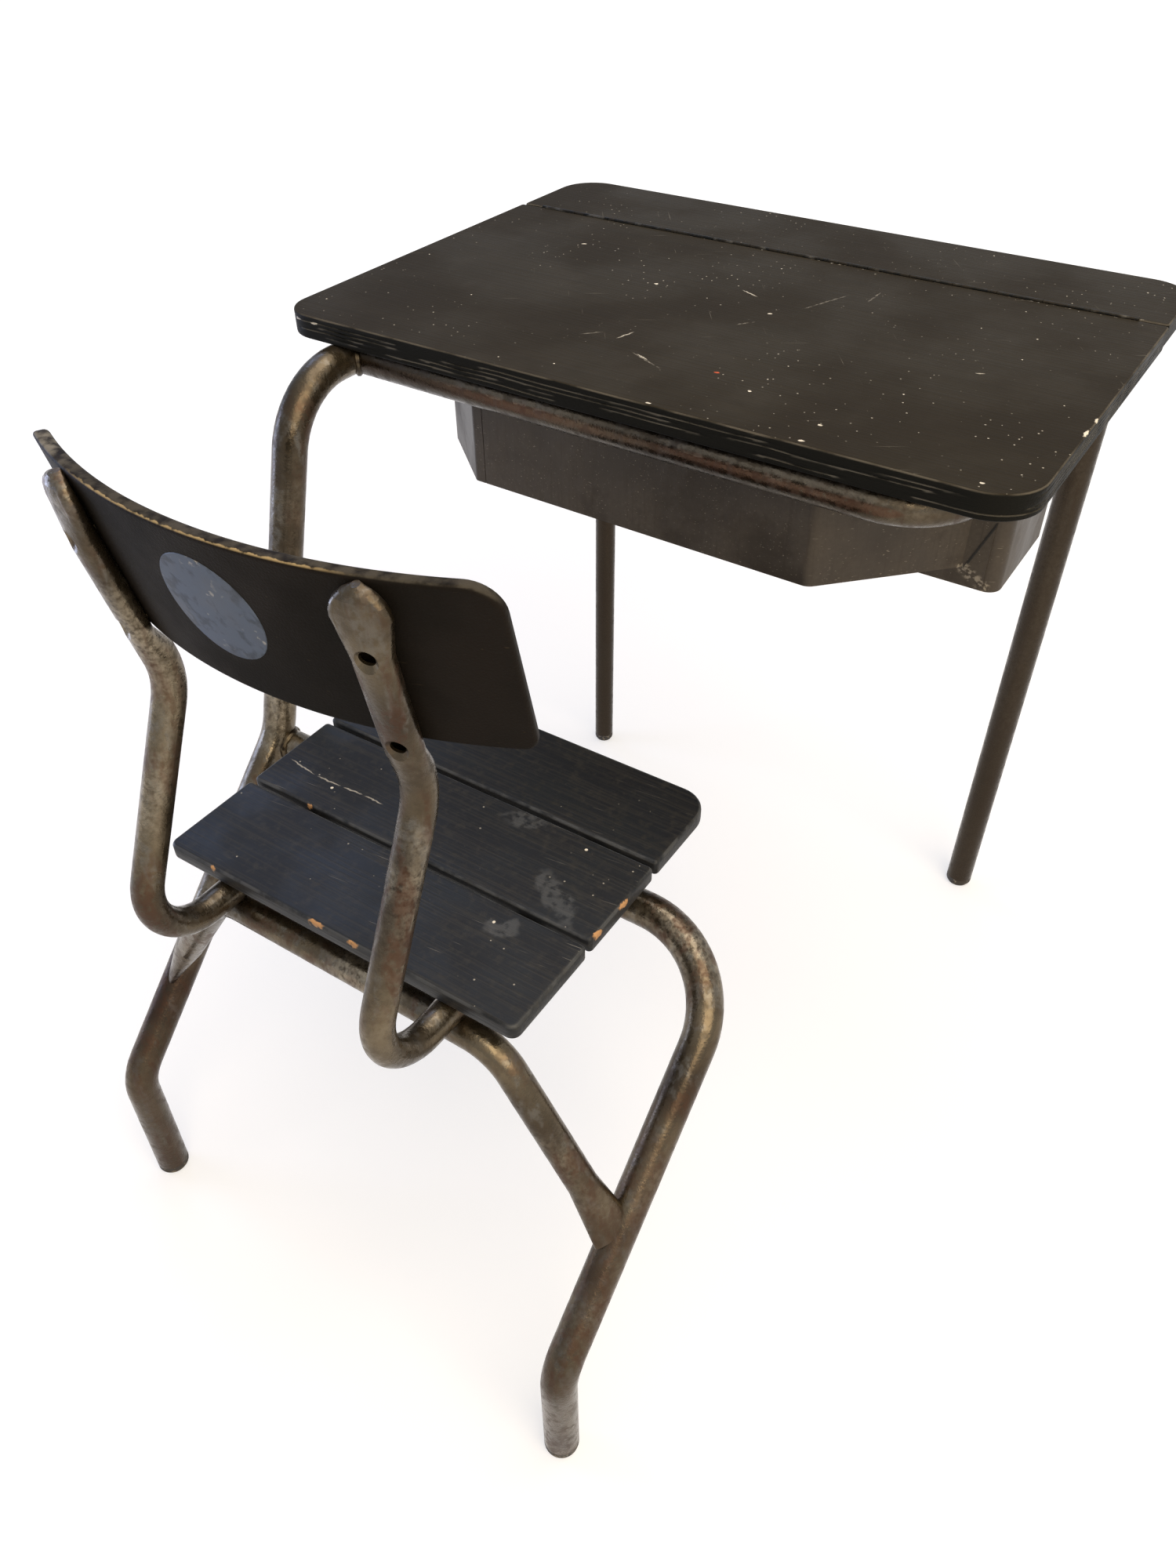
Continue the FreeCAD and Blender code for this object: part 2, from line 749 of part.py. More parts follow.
# A side panel: front return, rounded corner and side wall, which rises beside the rail.
def tray_side(side):
    if side > 0:
        left, right = right_wing_end_x, tray_right_x + overrun
    else:
        left, right = tray_left_x - overrun, tray_left_x + tray_left_corner
    front = tray_step_y - overrun
    low_part = tray_wall_part(left, right, front, tray_straight_end_y, tray_floor_height, tray_low_top)
    rise_start = tray_step_y + 2 * tray_corner
    high_part = tray_wall_part(left, right, rise_start, tray_straight_end_y, tray_low_top, rail_height)
    return joined([low_part, high_part])


# The back wall with its two slanted ends. Only the straight back rises to the cross rail.
def tray_back():
    left = tray_left_x - overrun
    right = tray_right_x + overrun
    back = tray_back_y + overrun
    low_part = tray_wall_part(left, right, tray_straight_end_y, back, tray_floor_height, tray_low_top)
    high_part = tray_wall_part(tray_left_x + tray_cut_run, tray_right_x - tray_cut_run,
                               tray_back_y - sheet, back, tray_low_top, rail_height)
    return joined([low_part, high_part])


# The low wall of the pan under the back of the front shelf.
def tray_step():
    return tray_wall_part(tray_left_x + tray_left_corner, right_wing_end_x, tray_step_y - overrun,
                          tray_step_y + overrun, tray_floor_height, shelf_height)


# Front face of the apron, just behind the front rail, which is not quite square to the sides.
def apron_y(x):
    share = (x + left_plane_x) / (right_rail_x + left_plane_x)
    rail_y = front_rail_left_y + (front_rail_right_y - front_rail_left_y) * share
    return rail_y + tube_radius + weld_gap


# Plan outline of the tray's front, its sides run on past the step so that they can be cut there.
def apron_outline(height):
    left_y = apron_y(-apron_left_x)
    right_y = apron_y(apron_right_x)
    right_run = (right_wing_end_x - apron_right_x) / (tray_step_y - right_y)
    back = tray_step_y + overrun
    corners = [
        point(-apron_left_x, left_y, height),
        point(apron_right_x, right_y, height),
        point(apron_right_x + right_run * (back - right_y), back, height),
        point(tray_left_x, back, height),
        point(tray_left_x, left_wing_end_y, height),
    ]
    return rounded_outline(corners, [wing_corner, tray_corner, 0, 0, wing_corner])


# Bent sheet of the tray's front and wings, behind the front rail, between two places across.
def front_sheet(left, right):
    height = rail_height - shelf_height
    outer = prism(apron_outline(shelf_height), height)
    inner = Part.Face(apron_outline(shelf_height)).makeOffset2D(-sheet, 2)
    shell = outer.cut(inner.extrude(point(0, 0, height)))
    window = box_between(point(left, 0, 0), point(right, tray_step_y, table_height))
    return shell.common(window)


# Front apron with its right wing, welded behind the front rail.
def tray_front():
    return front_sheet(wing_lap + wing_seam - apron_left_x, board_width)


# Left wing, with a narrow lap on the front and a return to the pan.
def tray_left_wing():
    return front_sheet(-board_width, wing_lap - apron_left_x)


# Floor of the tray's front part, from the apron back over the step.
def tray_shelf():
    inner = Part.Face(apron_outline(shelf_height)).makeOffset2D(-sheet, 2)
    behind = box_between(point(-board_width, tray_step_y + sheet, 0),
                         point(board_width, table_back_y, table_height))
    beside = [tray_side(-1), tray_side(1)]
    return inner.extrude(point(0, 0, sheet)).cut(behind).cut(beside[0]).cut(beside[1])


# A pointed corner flap folded on to the front return of the right side panel.
def tray_flap():
    edge_x = tray_right_x - tray_corner
    front = tray_step_y - sheet
    corners = [point(edge_x - flap_width, front, shelf_height),
               point(edge_x, front, flap_bottom_height), point(edge_x, front, flap_top_height)]
    flap = Part.Face(Part.makePolygon(corners + corners[:1]))
    return flap.extrude(point(0, sheet, 0))


def group(shapes):
    return Part.makeCompound(shapes)


def build():
    left_tube, left_bar = left_frame_tube()
    right_tube, right_bar = right_frame_tube(left_bar)
    cross_tube, cross_bar = rear_cross_rail(left_bar, right_bar)
    seat_tube, seat_bar = chair_front_tube(left_bar)
    bars = [left_bar, right_bar, cross_bar]
    return {
        "lid_board": lid_board(),
        "rear_board": rear_board(),
        "hinge_lid_leaf": hinge_leaf(-1),
        "hinge_rear_leaf": hinge_leaf(1),
        "hinge_pin": hinge_pin(),
        "hinge_lid_screws": group(hinge_screws(-1)),
        "hinge_rear_screws": group(hinge_screws(1)),
        "left_frame_tube": left_tube,
        "right_frame_tube": right_tube,
        "far_left_leg": far_left_leg(left_bar),
        "rear_cross_rail": cross_tube,
        "rear_board_tabs": group([board_tab(place, bars) for place in tab_places()]),
        "rear_board_screws": group([tab_screw(place) for place in tab_places()]),
        "left_rail_plug": left_rail_plug(),
        "chair_left_foot": foot_plug(-left_plane_x, -left_foot_reach, tube_diameter),
        "chair_right_foot": foot_plug(right_leg_x, -right_foot_reach, tube_diameter),
        "far_left_foot": foot_plug(far_left_foot_x, rear_leg_y, thin_tube_diameter),
        "far_right_foot": foot_plug(far_right_foot_x, rear_leg_y, tube_diameter),
        "tray_floor": tray_floor(),
        "tray_front": tray_front(),
        "tray_left_wing": tray_left_wing(),
        "tray_shelf": tray_shelf(),
        "tray_step": tray_step(),
        "tray_left_side": tray_side(-1),
        "tray_right_side": tray_side(1),
        "tray_back": tray_back(),
        "tray_flap": tray_flap(),
        "chair_front_tube": seat_tube,
        "chair_rear_brace": chair_rear_brace(left_bar, seat_bar),
        "back_tube_left": back_tube(-1),
        "back_tube_right": back_tube(1),
        "seat_slat_front": seat_slat(0),
        "seat_slat_middle": seat_slat(1),
        "seat_slat_rear": seat_slat(2),
        "seat_screws": group(slat_screws(-1) + slat_screws(1)),
        "backrest_panel": backrest_panel(),
        "backrest_screws": group([backrest_screw(side, place) for side in (-1, 1)
                                  for place in backrest_screw_places(side)]),
    }


os.makedirs("parts", exist_ok=True)
for node, shape in build().items():
    shape.translate(point(0, -desk_middle_y, 0))
    shape.exportStep("parts/" + node + ".step")
    state = "valid" if shape.isValid() else "NOT VALID"
    print(node, len(shape.Solids), "solids", state, round(shape.Volume))
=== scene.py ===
import math

import bmesh
import bpy
from bpy.props import FloatProperty, FloatVectorProperty, PointerProperty
from bpy.types import Operator, Panel, PropertyGroup
from mathutils import Matrix, Vector, noise
from mathutils.bvhtree import BVHTree


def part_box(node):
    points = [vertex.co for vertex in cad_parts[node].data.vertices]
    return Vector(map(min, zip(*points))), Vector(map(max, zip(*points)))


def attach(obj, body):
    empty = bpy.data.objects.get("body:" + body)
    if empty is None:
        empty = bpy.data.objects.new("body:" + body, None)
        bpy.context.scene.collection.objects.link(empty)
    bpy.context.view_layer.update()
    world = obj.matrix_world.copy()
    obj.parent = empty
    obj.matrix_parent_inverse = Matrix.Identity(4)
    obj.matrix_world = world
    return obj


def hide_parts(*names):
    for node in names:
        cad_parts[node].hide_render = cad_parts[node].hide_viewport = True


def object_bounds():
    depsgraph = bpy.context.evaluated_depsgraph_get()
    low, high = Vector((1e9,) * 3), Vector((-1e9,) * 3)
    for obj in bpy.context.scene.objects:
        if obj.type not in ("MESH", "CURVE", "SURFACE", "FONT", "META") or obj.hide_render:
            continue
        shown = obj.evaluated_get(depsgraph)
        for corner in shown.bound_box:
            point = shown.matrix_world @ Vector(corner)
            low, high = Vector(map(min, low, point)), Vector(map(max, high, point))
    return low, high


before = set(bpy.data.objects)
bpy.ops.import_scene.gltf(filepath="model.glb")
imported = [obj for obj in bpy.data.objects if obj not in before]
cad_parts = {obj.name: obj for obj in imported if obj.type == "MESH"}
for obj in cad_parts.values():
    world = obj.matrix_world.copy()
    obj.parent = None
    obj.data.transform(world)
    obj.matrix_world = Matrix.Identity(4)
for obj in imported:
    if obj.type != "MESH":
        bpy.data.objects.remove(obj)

bl_info = {
    "name": "Worn School Desk",
    "version": (1, 0, 0),
    "blender": (4, 5, 0),
    "location": "3D View > Sidebar > Desk",
    "description": "Dresses a school desk with a joined chair in worn steel and black painted wood",
    "category": "Object",
}

cad_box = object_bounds()

# Groups of frame nodes that share one finish
tube_nodes = ("left_frame_tube", "far_left_leg", "rear_cross_rail", "rear_board_tabs",
              "chair_front_tube", "chair_rear_brace", "back_tube_left", "back_tube_right")
rail_nodes = ("right_frame_tube",)
tray_nodes = ("tray_floor", "tray_front", "tray_left_wing", "tray_shelf", "tray_step",
              "tray_left_side", "tray_right_side", "tray_back", "tray_flap")
hinge_nodes = ("hinge_lid_leaf", "hinge_rear_leaf", "hinge_pin")
screw_nodes = ("hinge_lid_screws", "hinge_rear_screws", "rear_board_screws",
               "seat_screws", "backrest_screws")
foot_nodes = ("chair_left_foot", "chair_right_foot", "far_left_foot", "far_right_foot", "left_rail_plug")

# Camera of the photograph, in metres and degrees, and its focal length in pixels of a tall image
camera_place = (0.46362, -0.75069, 1.10574)
camera_yaw = 33.342
camera_pitch = 41.204
camera_roll = 0.433
camera_focal_pixels = 1524.57
image_height_pixels = 2000
camera_sensor = 36.0

# Mesh steps, in metres along an edge or in counts around a curve, and the angle that stays a crease
edge_step = 0.006
corner_steps = 10
round_steps = 4
disc_rings = 8
disc_spokes = 48
cap_margin = 0.0006
crease_angle = 40.0

# Ply lines along the edges of the boards: heights above the underside, groove size and waver, and how
# each line opens and closes along its run
ply_heights = (0.0046, 0.0082, 0.0116, 0.0150)
rear_ply_heights = (0.0066, 0.0132)
ply_groove_half = 0.0007
ply_groove_depth = 0.0016
ply_waver = 0.0010
ply_waver_length = 0.045
ply_break_length = 0.070
ply_apart = 30
ply_open_share = 0.55
ply_open_swing = 2
lid_seed = 1.0
rear_top_seed = 2.0
slat_seed = 3.0

# Welds: the tube that another one runs into, a place in the other one's middle, its direction there, and
# its half width and half height
weld_joints = {
    "seat_tube_weld": ("left_frame_tube", (-0.2100, -0.16925, 0.3870), (-1, 0, 0), 0.0150, 0.0150),
    "front_rail_weld": ("left_frame_tube", (-0.2100, -0.00220, 0.7047), (-1, 0.0148, 0), 0.0150, 0.0150),
    "cross_rail_left_weld": ("left_frame_tube", (-0.2200, 0.33375, 0.7072), (-1, 0, 0), 0.0125, 0.0125),
    "cross_rail_right_weld": ("right_frame_tube", (0.2200, 0.33375, 0.7072), (1, 0, 0), 0.0125, 0.0125),
    "far_left_leg_weld": ("left_frame_tube", (-0.2672, 0.40675, 0.6400), (0.0028, 0, 1), 0.0125, 0.0125),
}
weld_ring_steps = 40
weld_bead_steps = 8
weld_ripple_length = 0.0028
weld_ripple_share = 0.12
weld_lumps_per_metre = 150
weld_lump_divisor = 3
weld_pull_back = 0.0006
weld_rim_share = 0.985

# Studio: place, width, power and colour of each lamp, the room around and the floor
lamps = {
    "warm_key": ((2.2, -1.4, 2.8), 3.0, 115.0, "ffeccc"),
    "cool_fill": ((-2.6, -0.9, 0.8), 1.2, 28.0, "bccfff"),
    "top_soft": ((0.2, 0.6, 3.2), 2.2, 46.0, "fff4e6"),
    "cool_window": ((-2.0, 0.95, 2.5), 1.0, 9.0, "9dbcff"),
}
lamp_aim = (0.0, 0.0, 0.5)
room_cool = "7388b0"
room_warm = "f6ebdd"
room_warm_side = (0.70, -0.20, 0.60)
room_strength = 0.46
backdrop_cool = "a3afc4"
backdrop_white = "ffffff"
floor_half = 20.0
floor_steps = 8
floor_near = 0.8
floor_far = 3.5
floor_near_lift = 0.56
floor_far_lift = 0.90

# Directions that faces are weighed against: straight up, for wear and for painted highlights; the front
# rail's face, for its rust; its brow, for its painted highlight; the backrest's rear brow, for its wear
upward = (0.0, 0.0, 1.0)
rail_face = (0.0, -1.0, 0.0)
rail_highlight_brow = (0.0, -0.92, 0.39)
panel_brow = (0.0, -0.84, 0.54)

# Patterns on stretched coordinates count in units, as a real size has divided them already
lane_unit = 1.0

# Sizes of the patterns in the finishes, in metres. Scratches, brush marks, weave and pits are finer than
# the render can show, and are drawn as coarse as they need to be seen. First the bare tubes.
tube_cloud = 0.085
tube_mottle = 0.0070
tube_rub = 0.110
tube_rub_grain = 0.0034
tube_bloom = 0.090
tube_bloom_grain = 0.0050
tube_streak = 0.011
tube_streak_run = 0.075
tube_pit = 0.0022
tube_pit_depth = 0.00008
tube_shin_top = 0.36
tube_shin_low = 0.22
# The painted shade on the far legs: how far back it starts and where it is full, in metres
tube_far_shade_start = 0.10
tube_far_shade_end = 0.36
rail_run = 0.220
rail_rust_width = 0.050
rail_grain = 0.0040
rail_ragged = 0.0120
rail_shake = 0.02
rail_dull_start = -0.19
rail_dull_end = -0.10
rail_low = 0.670
rail_high = 0.685

# Folded sheet
sheet_cloud = 0.070
sheet_grain = 0.0030
sheet_stain = 0.022
sheet_run = 0.060
sheet_scratch = 0.050
sheet_waviness = 0.0010
# Width of the thin painted shadow lines along the lapped sheet edges
shadow_line_width = 0.0009
flap_scuff_width = 0.0036
flap_foot = 0.610
front_lap = 0.006
scratch_width = 0.0010

# Table boards
table_top = 0.740
board_cloud = 0.120
board_haze = 0.055
board_brush_run = 0.160
board_brush = 0.0016
board_rim = 0.0014
# Patch size of the painted highlights on the table's upper rim and ply lips
board_rim_highlight = 0.030
board_crowd = 0.110
board_dust_gap = 0.0090
board_dust = 0.0009
board_bit_gap = 0.0500
board_bit = 0.0010
board_hair = 0.055
flake_reach = 0.0035
flake_start = 0.0012
flake_size = 0.0045
board_nick_drop = 0.005
paint_relief = 0.00010
ragged_size = 0.0040
ragged_amount = 0.0014

# Seat slats
seat_top = 0.4405
slat_cloud = 0.060
slat_grain_run = 0.090
slat_grain = 0.0022
slat_bloom = 0.0060
# Patch size of the painted highlight along the slats' rounded edges
slat_rim_highlight = 0.018
slat_dust_gap = 0.0130
slat_dust = 0.0010
slat_hair = 0.045
slat_chip_width = 0.0020
slat_chip_drop = 0.0020
slat_dot = 0.0016
chip_ragged = 0.0050
chip_amount = 0.0030
scuff_ragged = 0.020
scuff_amount = 0.010
scuff_width = 0.014
scuff_grain = 0.0065

# Backrest
panel_cloud = 0.080
panel_weave = 0.0016
panel_wear = 0.016
panel_ragged = 0.0050
panel_shake = 0.15
panel_grey = 0.0100
panel_held_left = -0.105
panel_held_right = 0.045
panel_held_fade = 0.040
panel_end = -0.175
disc_cloud = 0.030
disc_dent = 0.016
disc_dent_grain = 0.0070

# Small steel and rubber
steel_cloud = 0.0060
steel_stain = 0.012
steel_relief = 0.00008
rubber_cloud = 0.012
rubber_scuff = 0.0050

# Single marks: place across and away, half length, and turn about the upright in radians
mark_depth = 0.0040
mark_core = 0.6
chip_width = 0.0015
nick_reach = 0.0050
nick_half = 0.0012
gouge_width = 0.0009
board_chips = (
    (0.0408, -0.0241, 0.0026, 0.0), (0.0476, -0.0300, 0.0044, 0.0), (0.1617, -0.0209, 0.0030, 0.3),
    (0.1623, 0.0090, 0.0020, 0.0), (-0.1986, 0.2561, 0.0026, 0.5), (0.0350, 0.1847, 0.0022, 0.4),
    (-0.0831, 0.1967, 0.0022, 0.0), (0.2876, -0.0147, 0.0018, 0.2), (0.0935, 0.0339, 0.0019, 0.0),
    (0.0262, 0.3322, 0.0030, 1.2), (0.3236, 0.0950, 0.0070, 1.571), (0.3240, 0.1200, 0.0040, 1.571),
)
board_gouges = (
    (-0.0011, 0.2191, 0.0114, -0.409), (-0.0427, 0.0792, 0.0113, 1.338),
    (-0.0075, 0.0475, 0.0080, -0.434), (0.2267, 0.1568, 0.0043, 0.356),
)
board_faint = (
    (-0.0016, 0.0434, 0.0221, -0.434), (0.0273, 0.1535, 0.0119, 0.940), (0.0632, 0.2343, 0.0322, 1.203),
    (0.0939, 0.2683, 0.0160, 1.562), (-0.0686, 0.0683, 0.0115, 0.849),
)
board_nicks = ((-0.3060, -0.0225, 0.0055, -0.5), (-0.2860, -0.0272, 0.0045, 0.0))
board_red = ((0.0562, 0.0517, 0.0026, 0.0),)
slat_gouges = (
    (-0.1730, -0.2296, 0.0175, -0.146), (-0.1411, -0.2315, 0.0147, 0.047),
    (-0.1156, -0.2300, 0.0109, 0.071), (-0.0933, -0.2295, 0.0114, -0.022),
)
slat_scuffs = (
    (0.0280, -0.1801, 0.0260, 0.342), (0.0980, -0.2387, 0.0420, -0.60), (0.0790, -0.2870, 0.0160, 0.0),
)
slat_chips = (
    (-0.0400, -0.3572, 0.0090, 0.0), (-0.0038, -0.3572, 0.0065, 0.0), (0.1430, -0.2159, 0.0075, 1.571),
    (0.1430, -0.2514, 0.0070, 1.571), (-0.1350, -0.2625, 0.0040, 0.0), (-0.1484, -0.3574, 0.0042, 0.0),
)
slat_dots = (
    (-0.1331, -0.2366, 0.0016, 0.0), (0.0882, -0.1832, 0.0016, 0.0), (0.0722, -0.2850, 0.0014, 0.0),
)


def linear(hex_code):
    """Linear colour with full alpha from an sRGB hex colour."""
    channels = [int(hex_code[start:start + 2], 16) / 255 for start in (0, 2, 4)]
    low_limit, low_slope, lift, power = 0.04045, 12.92, 0.055, 2.4
    values = [c / low_slope if c <= low_limit else ((c + lift) / (1 + lift)) ** power for c in channels]
    return (*values, 1.0)


def length_value(name, description, default):
    return FloatProperty(name=name, description=description, default=default,
                         subtype="DISTANCE", unit="LENGTH")


def colour_value(name, description, hex_code):
    return FloatVectorProperty(name=name, description=description, default=linear(hex_code),
                               size=4, min=0.0, max=1.0, subtype="COLOR")


class DeskSizes(PropertyGroup):
    """Sizes of the pieces that are modelled over the frame."""

    board_edge: length_value("Board edge", "Rounding of the table boards' edges", 0.0016)
    board_corner: length_value("Board corner", "Rounding of the boards' corners at the seam", 0.0030)
    lid_left_corner: length_value("Lid left corner", "Rounding of the lid's front left corner", 0.030)
    lid_right_corner: length_value("Lid right corner", "Rounding of the lid's front right corner", 0.038)
    rear_board_corner: length_value("Rear corner", "Rounding of the rear board's far corners", 0.038)
    slat_edge: length_value("Slat edge", "Rounding of the slats' edges", 0.0030)
    slat_corner: length_value("Slat corner", "Rounding of the slats' plain corners", 0.0040)
    seat_front_corner: length_value("Seat front corner", "Rounding of the seat's front corners", 0.026)
    seat_rear_corner: length_value("Seat rear corner", "Rounding of the seat's rear corners", 0.008)
    panel_edge: length_value("Panel edge", "Rounding of the backrest's edges", 0.0030)
    panel_top_corner: length_value("Panel top corner", "Rounding of the backrest's top corners", 0.021)
    panel_bottom_corner: length_value("Panel bottom corner", "Rounding of its bottom corners", 0.010)
    panel_radius: length_value("Panel radius", "Radius of the bent backrest's back face", 0.380)
    panel_middle: length_value("Panel middle", "Where the backrest's curve is centred across", -0.0305)
    panel_thickness: length_value("Panel thickness", "Thickness of the bent backrest", 0.010)
    panel_lean: FloatProperty(name="Panel lean", description="Run back for each unit up", default=-0.22784)
    disc_radius: length_value("Disc radius", "Radius of the grey disc on the back", 0.0375)
    disc_height: length_value("Disc height", "Height of the grey disc's middle", 0.736)
    disc_thickness: length_value("Disc thickness", "How far the grey disc stands off the back", 0.0004)
    weld_bead: length_value("Weld bead", "Half thickness of a weld bead", 0.0032)


class DeskColours(PropertyGroup):
    """Colours of the finishes."""

    # Also painted shade: the darkest colour laid over the far legs
    tube_dark: colour_value("Tube dark", "Deep brown of the steel's patina", "322a21")
    tube_middle: colour_value("Tube middle", "Bronze brown of handled steel", "665b49")
    # Also a painted highlight: the broken line along the front rail's brow
    tube_bright: colour_value("Tube bright", "Steel rubbed bare", "b6aa95")
    tube_grey: colour_value("Tube grey", "Cool grey steel where the brown is worn thin", "6c6963")
    rust: colour_value("Rust", "Red brown rust", "4a2b1c")
    sheet_dark: colour_value("Sheet dark", "Dark brown of the tray's sheet", "352e26")
    sheet_light: colour_value("Sheet light", "Greyer brown of the tray's sheet", "4a4238")
    board: colour_value("Board", "Brown black paint of the table", "2e291f")
    board_shade: colour_value("Board shade", "Darker clouds in the table's paint", "28231b")
    board_haze: colour_value("Board haze", "Greyer haze rubbed into the table", "3b3730")
    # Also painted shadow: the thin dark lines along the tray's lapped sheet edges
    board_edge: colour_value("Board edge", "Plain black paint of the table's edge", "1a1a18")
    slat: colour_value("Slat", "Blue black paint of the seat", "212428")
    slat_shade: colour_value("Slat shade", "Darker clouds in the seat's paint", "191a1d")
    slat_grain: colour_value("Slat grain", "Brown grey grain and bloom of the seat", "33312d")
    # Also a painted highlight: the grey along the slats' rounded edges
    scuff: colour_value("Scuff", "Grey scuffs on the seat", "5b5d5f")
    panel: colour_value("Panel", "Black brown paint of the backrest", "1c1713")
    panel_shade: colour_value("Panel shade", "Darker clouds in the backrest's paint", "161310")
    bare_wood: colour_value("Bare wood", "Wood where the paint has chipped off", "b3895f")
    worn_wood: colour_value("Worn wood", "Greyed wood along rubbed edges", "a3906c")
    # Also a painted highlight: the grey along the table's upper rim
    worn_paint: colour_value("Worn paint", "Paint rubbed grey along edges", "5d584f")
    # Also a painted highlight: the pale lips of the table's ply lines
    fleck: colour_value("Fleck", "Pale flecks of dry paint and dust", "d8d2c5")
    red_fleck: colour_value("Red fleck", "The few red flecks on the table", "c05a3c")
    disc: colour_value("Disc", "Dull blue grey of the disc", "4a5465")
    disc_shade: colour_value("Disc shade", "Paler clouds in the disc", "586375")
    rubber: colour_value("Rubber", "Dark brown grey of the feet", "2c2825")
    floor: colour_value("Floor", "Pale studio floor", "bdbdbf")


def add_node(tree, kind, settings=None, inputs=None):
    """Adds one shader node, sets its properties, and fills or links its inputs."""
    node = tree.nodes.new(kind)
    for name, value in (settings or {}).items():
        setattr(node, name, value)
    for key, value in (inputs or {}).items():
        if isinstance(value, bpy.types.NodeSocket):
            tree.links.new(value, node.inputs[key])
        else:
            node.inputs[key].default_value = value
    return node


def new_material(name):
    """An empty material, with the object's own coordinates in metres and its own normal."""
    material = bpy.data.materials.new(name)
    material.use_nodes = True
    tree = material.node_tree
    tree.nodes.clear()
    place = add_node(tree, "ShaderNodeTexCoord")
    return material, tree, place.outputs["Object"], place.outputs["Normal"]


def close_material(tree, colour, gloss, relief, constants):
    """Ends a material in one shader: a roughness that a mask moves between two values, a bump of a real
    depth and constant values."""
    mask, least, most = gloss
    height, depth = relief
    bump = add_node(tree, "ShaderNodeBump", inputs={"Height": height, "Distance": depth})
    inputs = {"Base Color": colour, "Roughness": spread(tree, mask, 0.0, 1.0, least, most),
              "Normal": bump.outputs["Normal"], **constants}
    shader = add_node(tree, "ShaderNodeBsdfPrincipled", inputs=inputs)
    add_node(tree, "ShaderNodeOutputMaterial", inputs={"Surface": shader.outputs[0]})


def spread(tree, value, low, high, out_low=0.0, out_high=1.0):
    """Brings a pattern from one range to another, with a soft start and end."""
    node = add_node(tree, "ShaderNodeMapRange", {"interpolation_type": "SMOOTHSTEP"},
                    {"Value": value, "From Min": low, "From Max": high,
                     "To Min": out_low, "To Max": out_high})
    return node.outputs["Result"]


def patches(tree, where, size, low, high, seed, detail=5.0):
    """Cloudy patches of a real size, from none below the low mark to full above the high one."""
    cloud = add_node(tree, "ShaderNodeTexNoise", {"noise_dimensions": "4D"},
                     {"Vector": where, "W": seed, "Scale": 1 / size, "Detail": detail})
    return spread(tree, cloud.outputs["Fac"], low, high)


def stretched(tree, where, sizes, turn=0.0):
    """Coordinates turned about the upright and divided by a real size each way."""
    turned = add_node(tree, "ShaderNodeMapping", inputs={"Vector": where, "Rotation": (0.0, 0.0, -turn)})
    scale = tuple(1 / size for size in sizes)
    scaled = add_node(tree, "ShaderNodeMapping", inputs={"Vector": turned.outputs[0], "Scale": scale})
    return scaled.outputs[0]


def scratches(tree, where, length, turn, low, high, seed):
    """Fine straight scratches, long one way and thin the other two."""
    lane = stretched(tree, where, (length, scratch_width, scratch_width), turn)
    return patches(tree, lane, lane_unit, low, high, seed, detail=1.5)


def specks(tree, where, spacing, size, share, seed):
    """Small round specks in a share of evenly spaced cells, seen from above."""
    moved = add_node(tree, "ShaderNodeVectorMath", {"operation": "ADD"}, {0: where, 1: (seed, seed, seed)})
    cells = add_node(tree, "ShaderNodeTexVoronoi", {"voronoi_dimensions": "2D"},
                     {"Vector": moved.outputs[0], "Scale": 1 / spacing})
    pick = add_node(tree, "ShaderNodeSeparateColor", inputs={"Color": cells.outputs["Color"]})
    chosen = spread(tree, pick.outputs[0], share, 0.0, 0.0, size / spacing)
    inside = combined(tree, "SUBTRACT", chosen, cells.outputs["Distance"])
    return spread(tree, inside, 0.0, size / spacing / 2)


def combined(tree, operation, *masks):
    """Joins masks one after the other: the product keeps what all share, the maximum what any has."""
    whole = masks[0]
    for mask in masks[1:]:
        whole = add_node(tree, "ShaderNodeMath", {"operation": operation}, {0: whole, 1: mask}).outputs[0]
    return whole


def facing(tree, normal, direction, low, high, shake=0.0):
    """Full where the surface faces a direction, none where it turns away. Its edge may be shaken."""
    turned = add_node(tree, "ShaderNodeVectorMath", {"operation": "DOT_PRODUCT"}, {0: normal, 1: direction})
    return spread(tree, combined(tree, "ADD", turned.outputs["Value"], shake), low, high)


def warped(tree, where, size, amount):
    """Coordinates shaken by noise of a real size and amount, for ragged outlines."""
    shake = add_node(tree, "ShaderNodeTexNoise", inputs={"Vector": where, "Scale": 1 / size, "Detail": 3.0})
    level = add_node(tree, "ShaderNodeVectorMath", {"operation": "MULTIPLY_ADD"},
                     {0: shake.outputs["Color"], 1: (2 * amount,) * 3, 2: (-amount,) * 3})
    whole = add_node(tree, "ShaderNodeVectorMath", {"operation": "ADD"}, {0: where, 1: level.outputs[0]})
    return whole.outputs[0]


def marks(tree, where, places, width, height, depth=mark_depth):
    """Single marks, each given by its middle, its half length and its turn about the upright."""
    spots = []
    for across, away, half_length, turn in places:
        offset = add_node(tree, "ShaderNodeVectorMath", {"operation": "SUBTRACT"},
                          {0: where, 1: (across, away, height)})
        lane = stretched(tree, offset.outputs[0], (half_length, width, depth), turn)
        gap = add_node(tree, "ShaderNodeVectorMath", {"operation": "LENGTH"}, {0: lane})
        spots.append(spread(tree, gap.outputs["Value"], 1.0, mark_core))
    return combined(tree, "MAXIMUM", *spots)


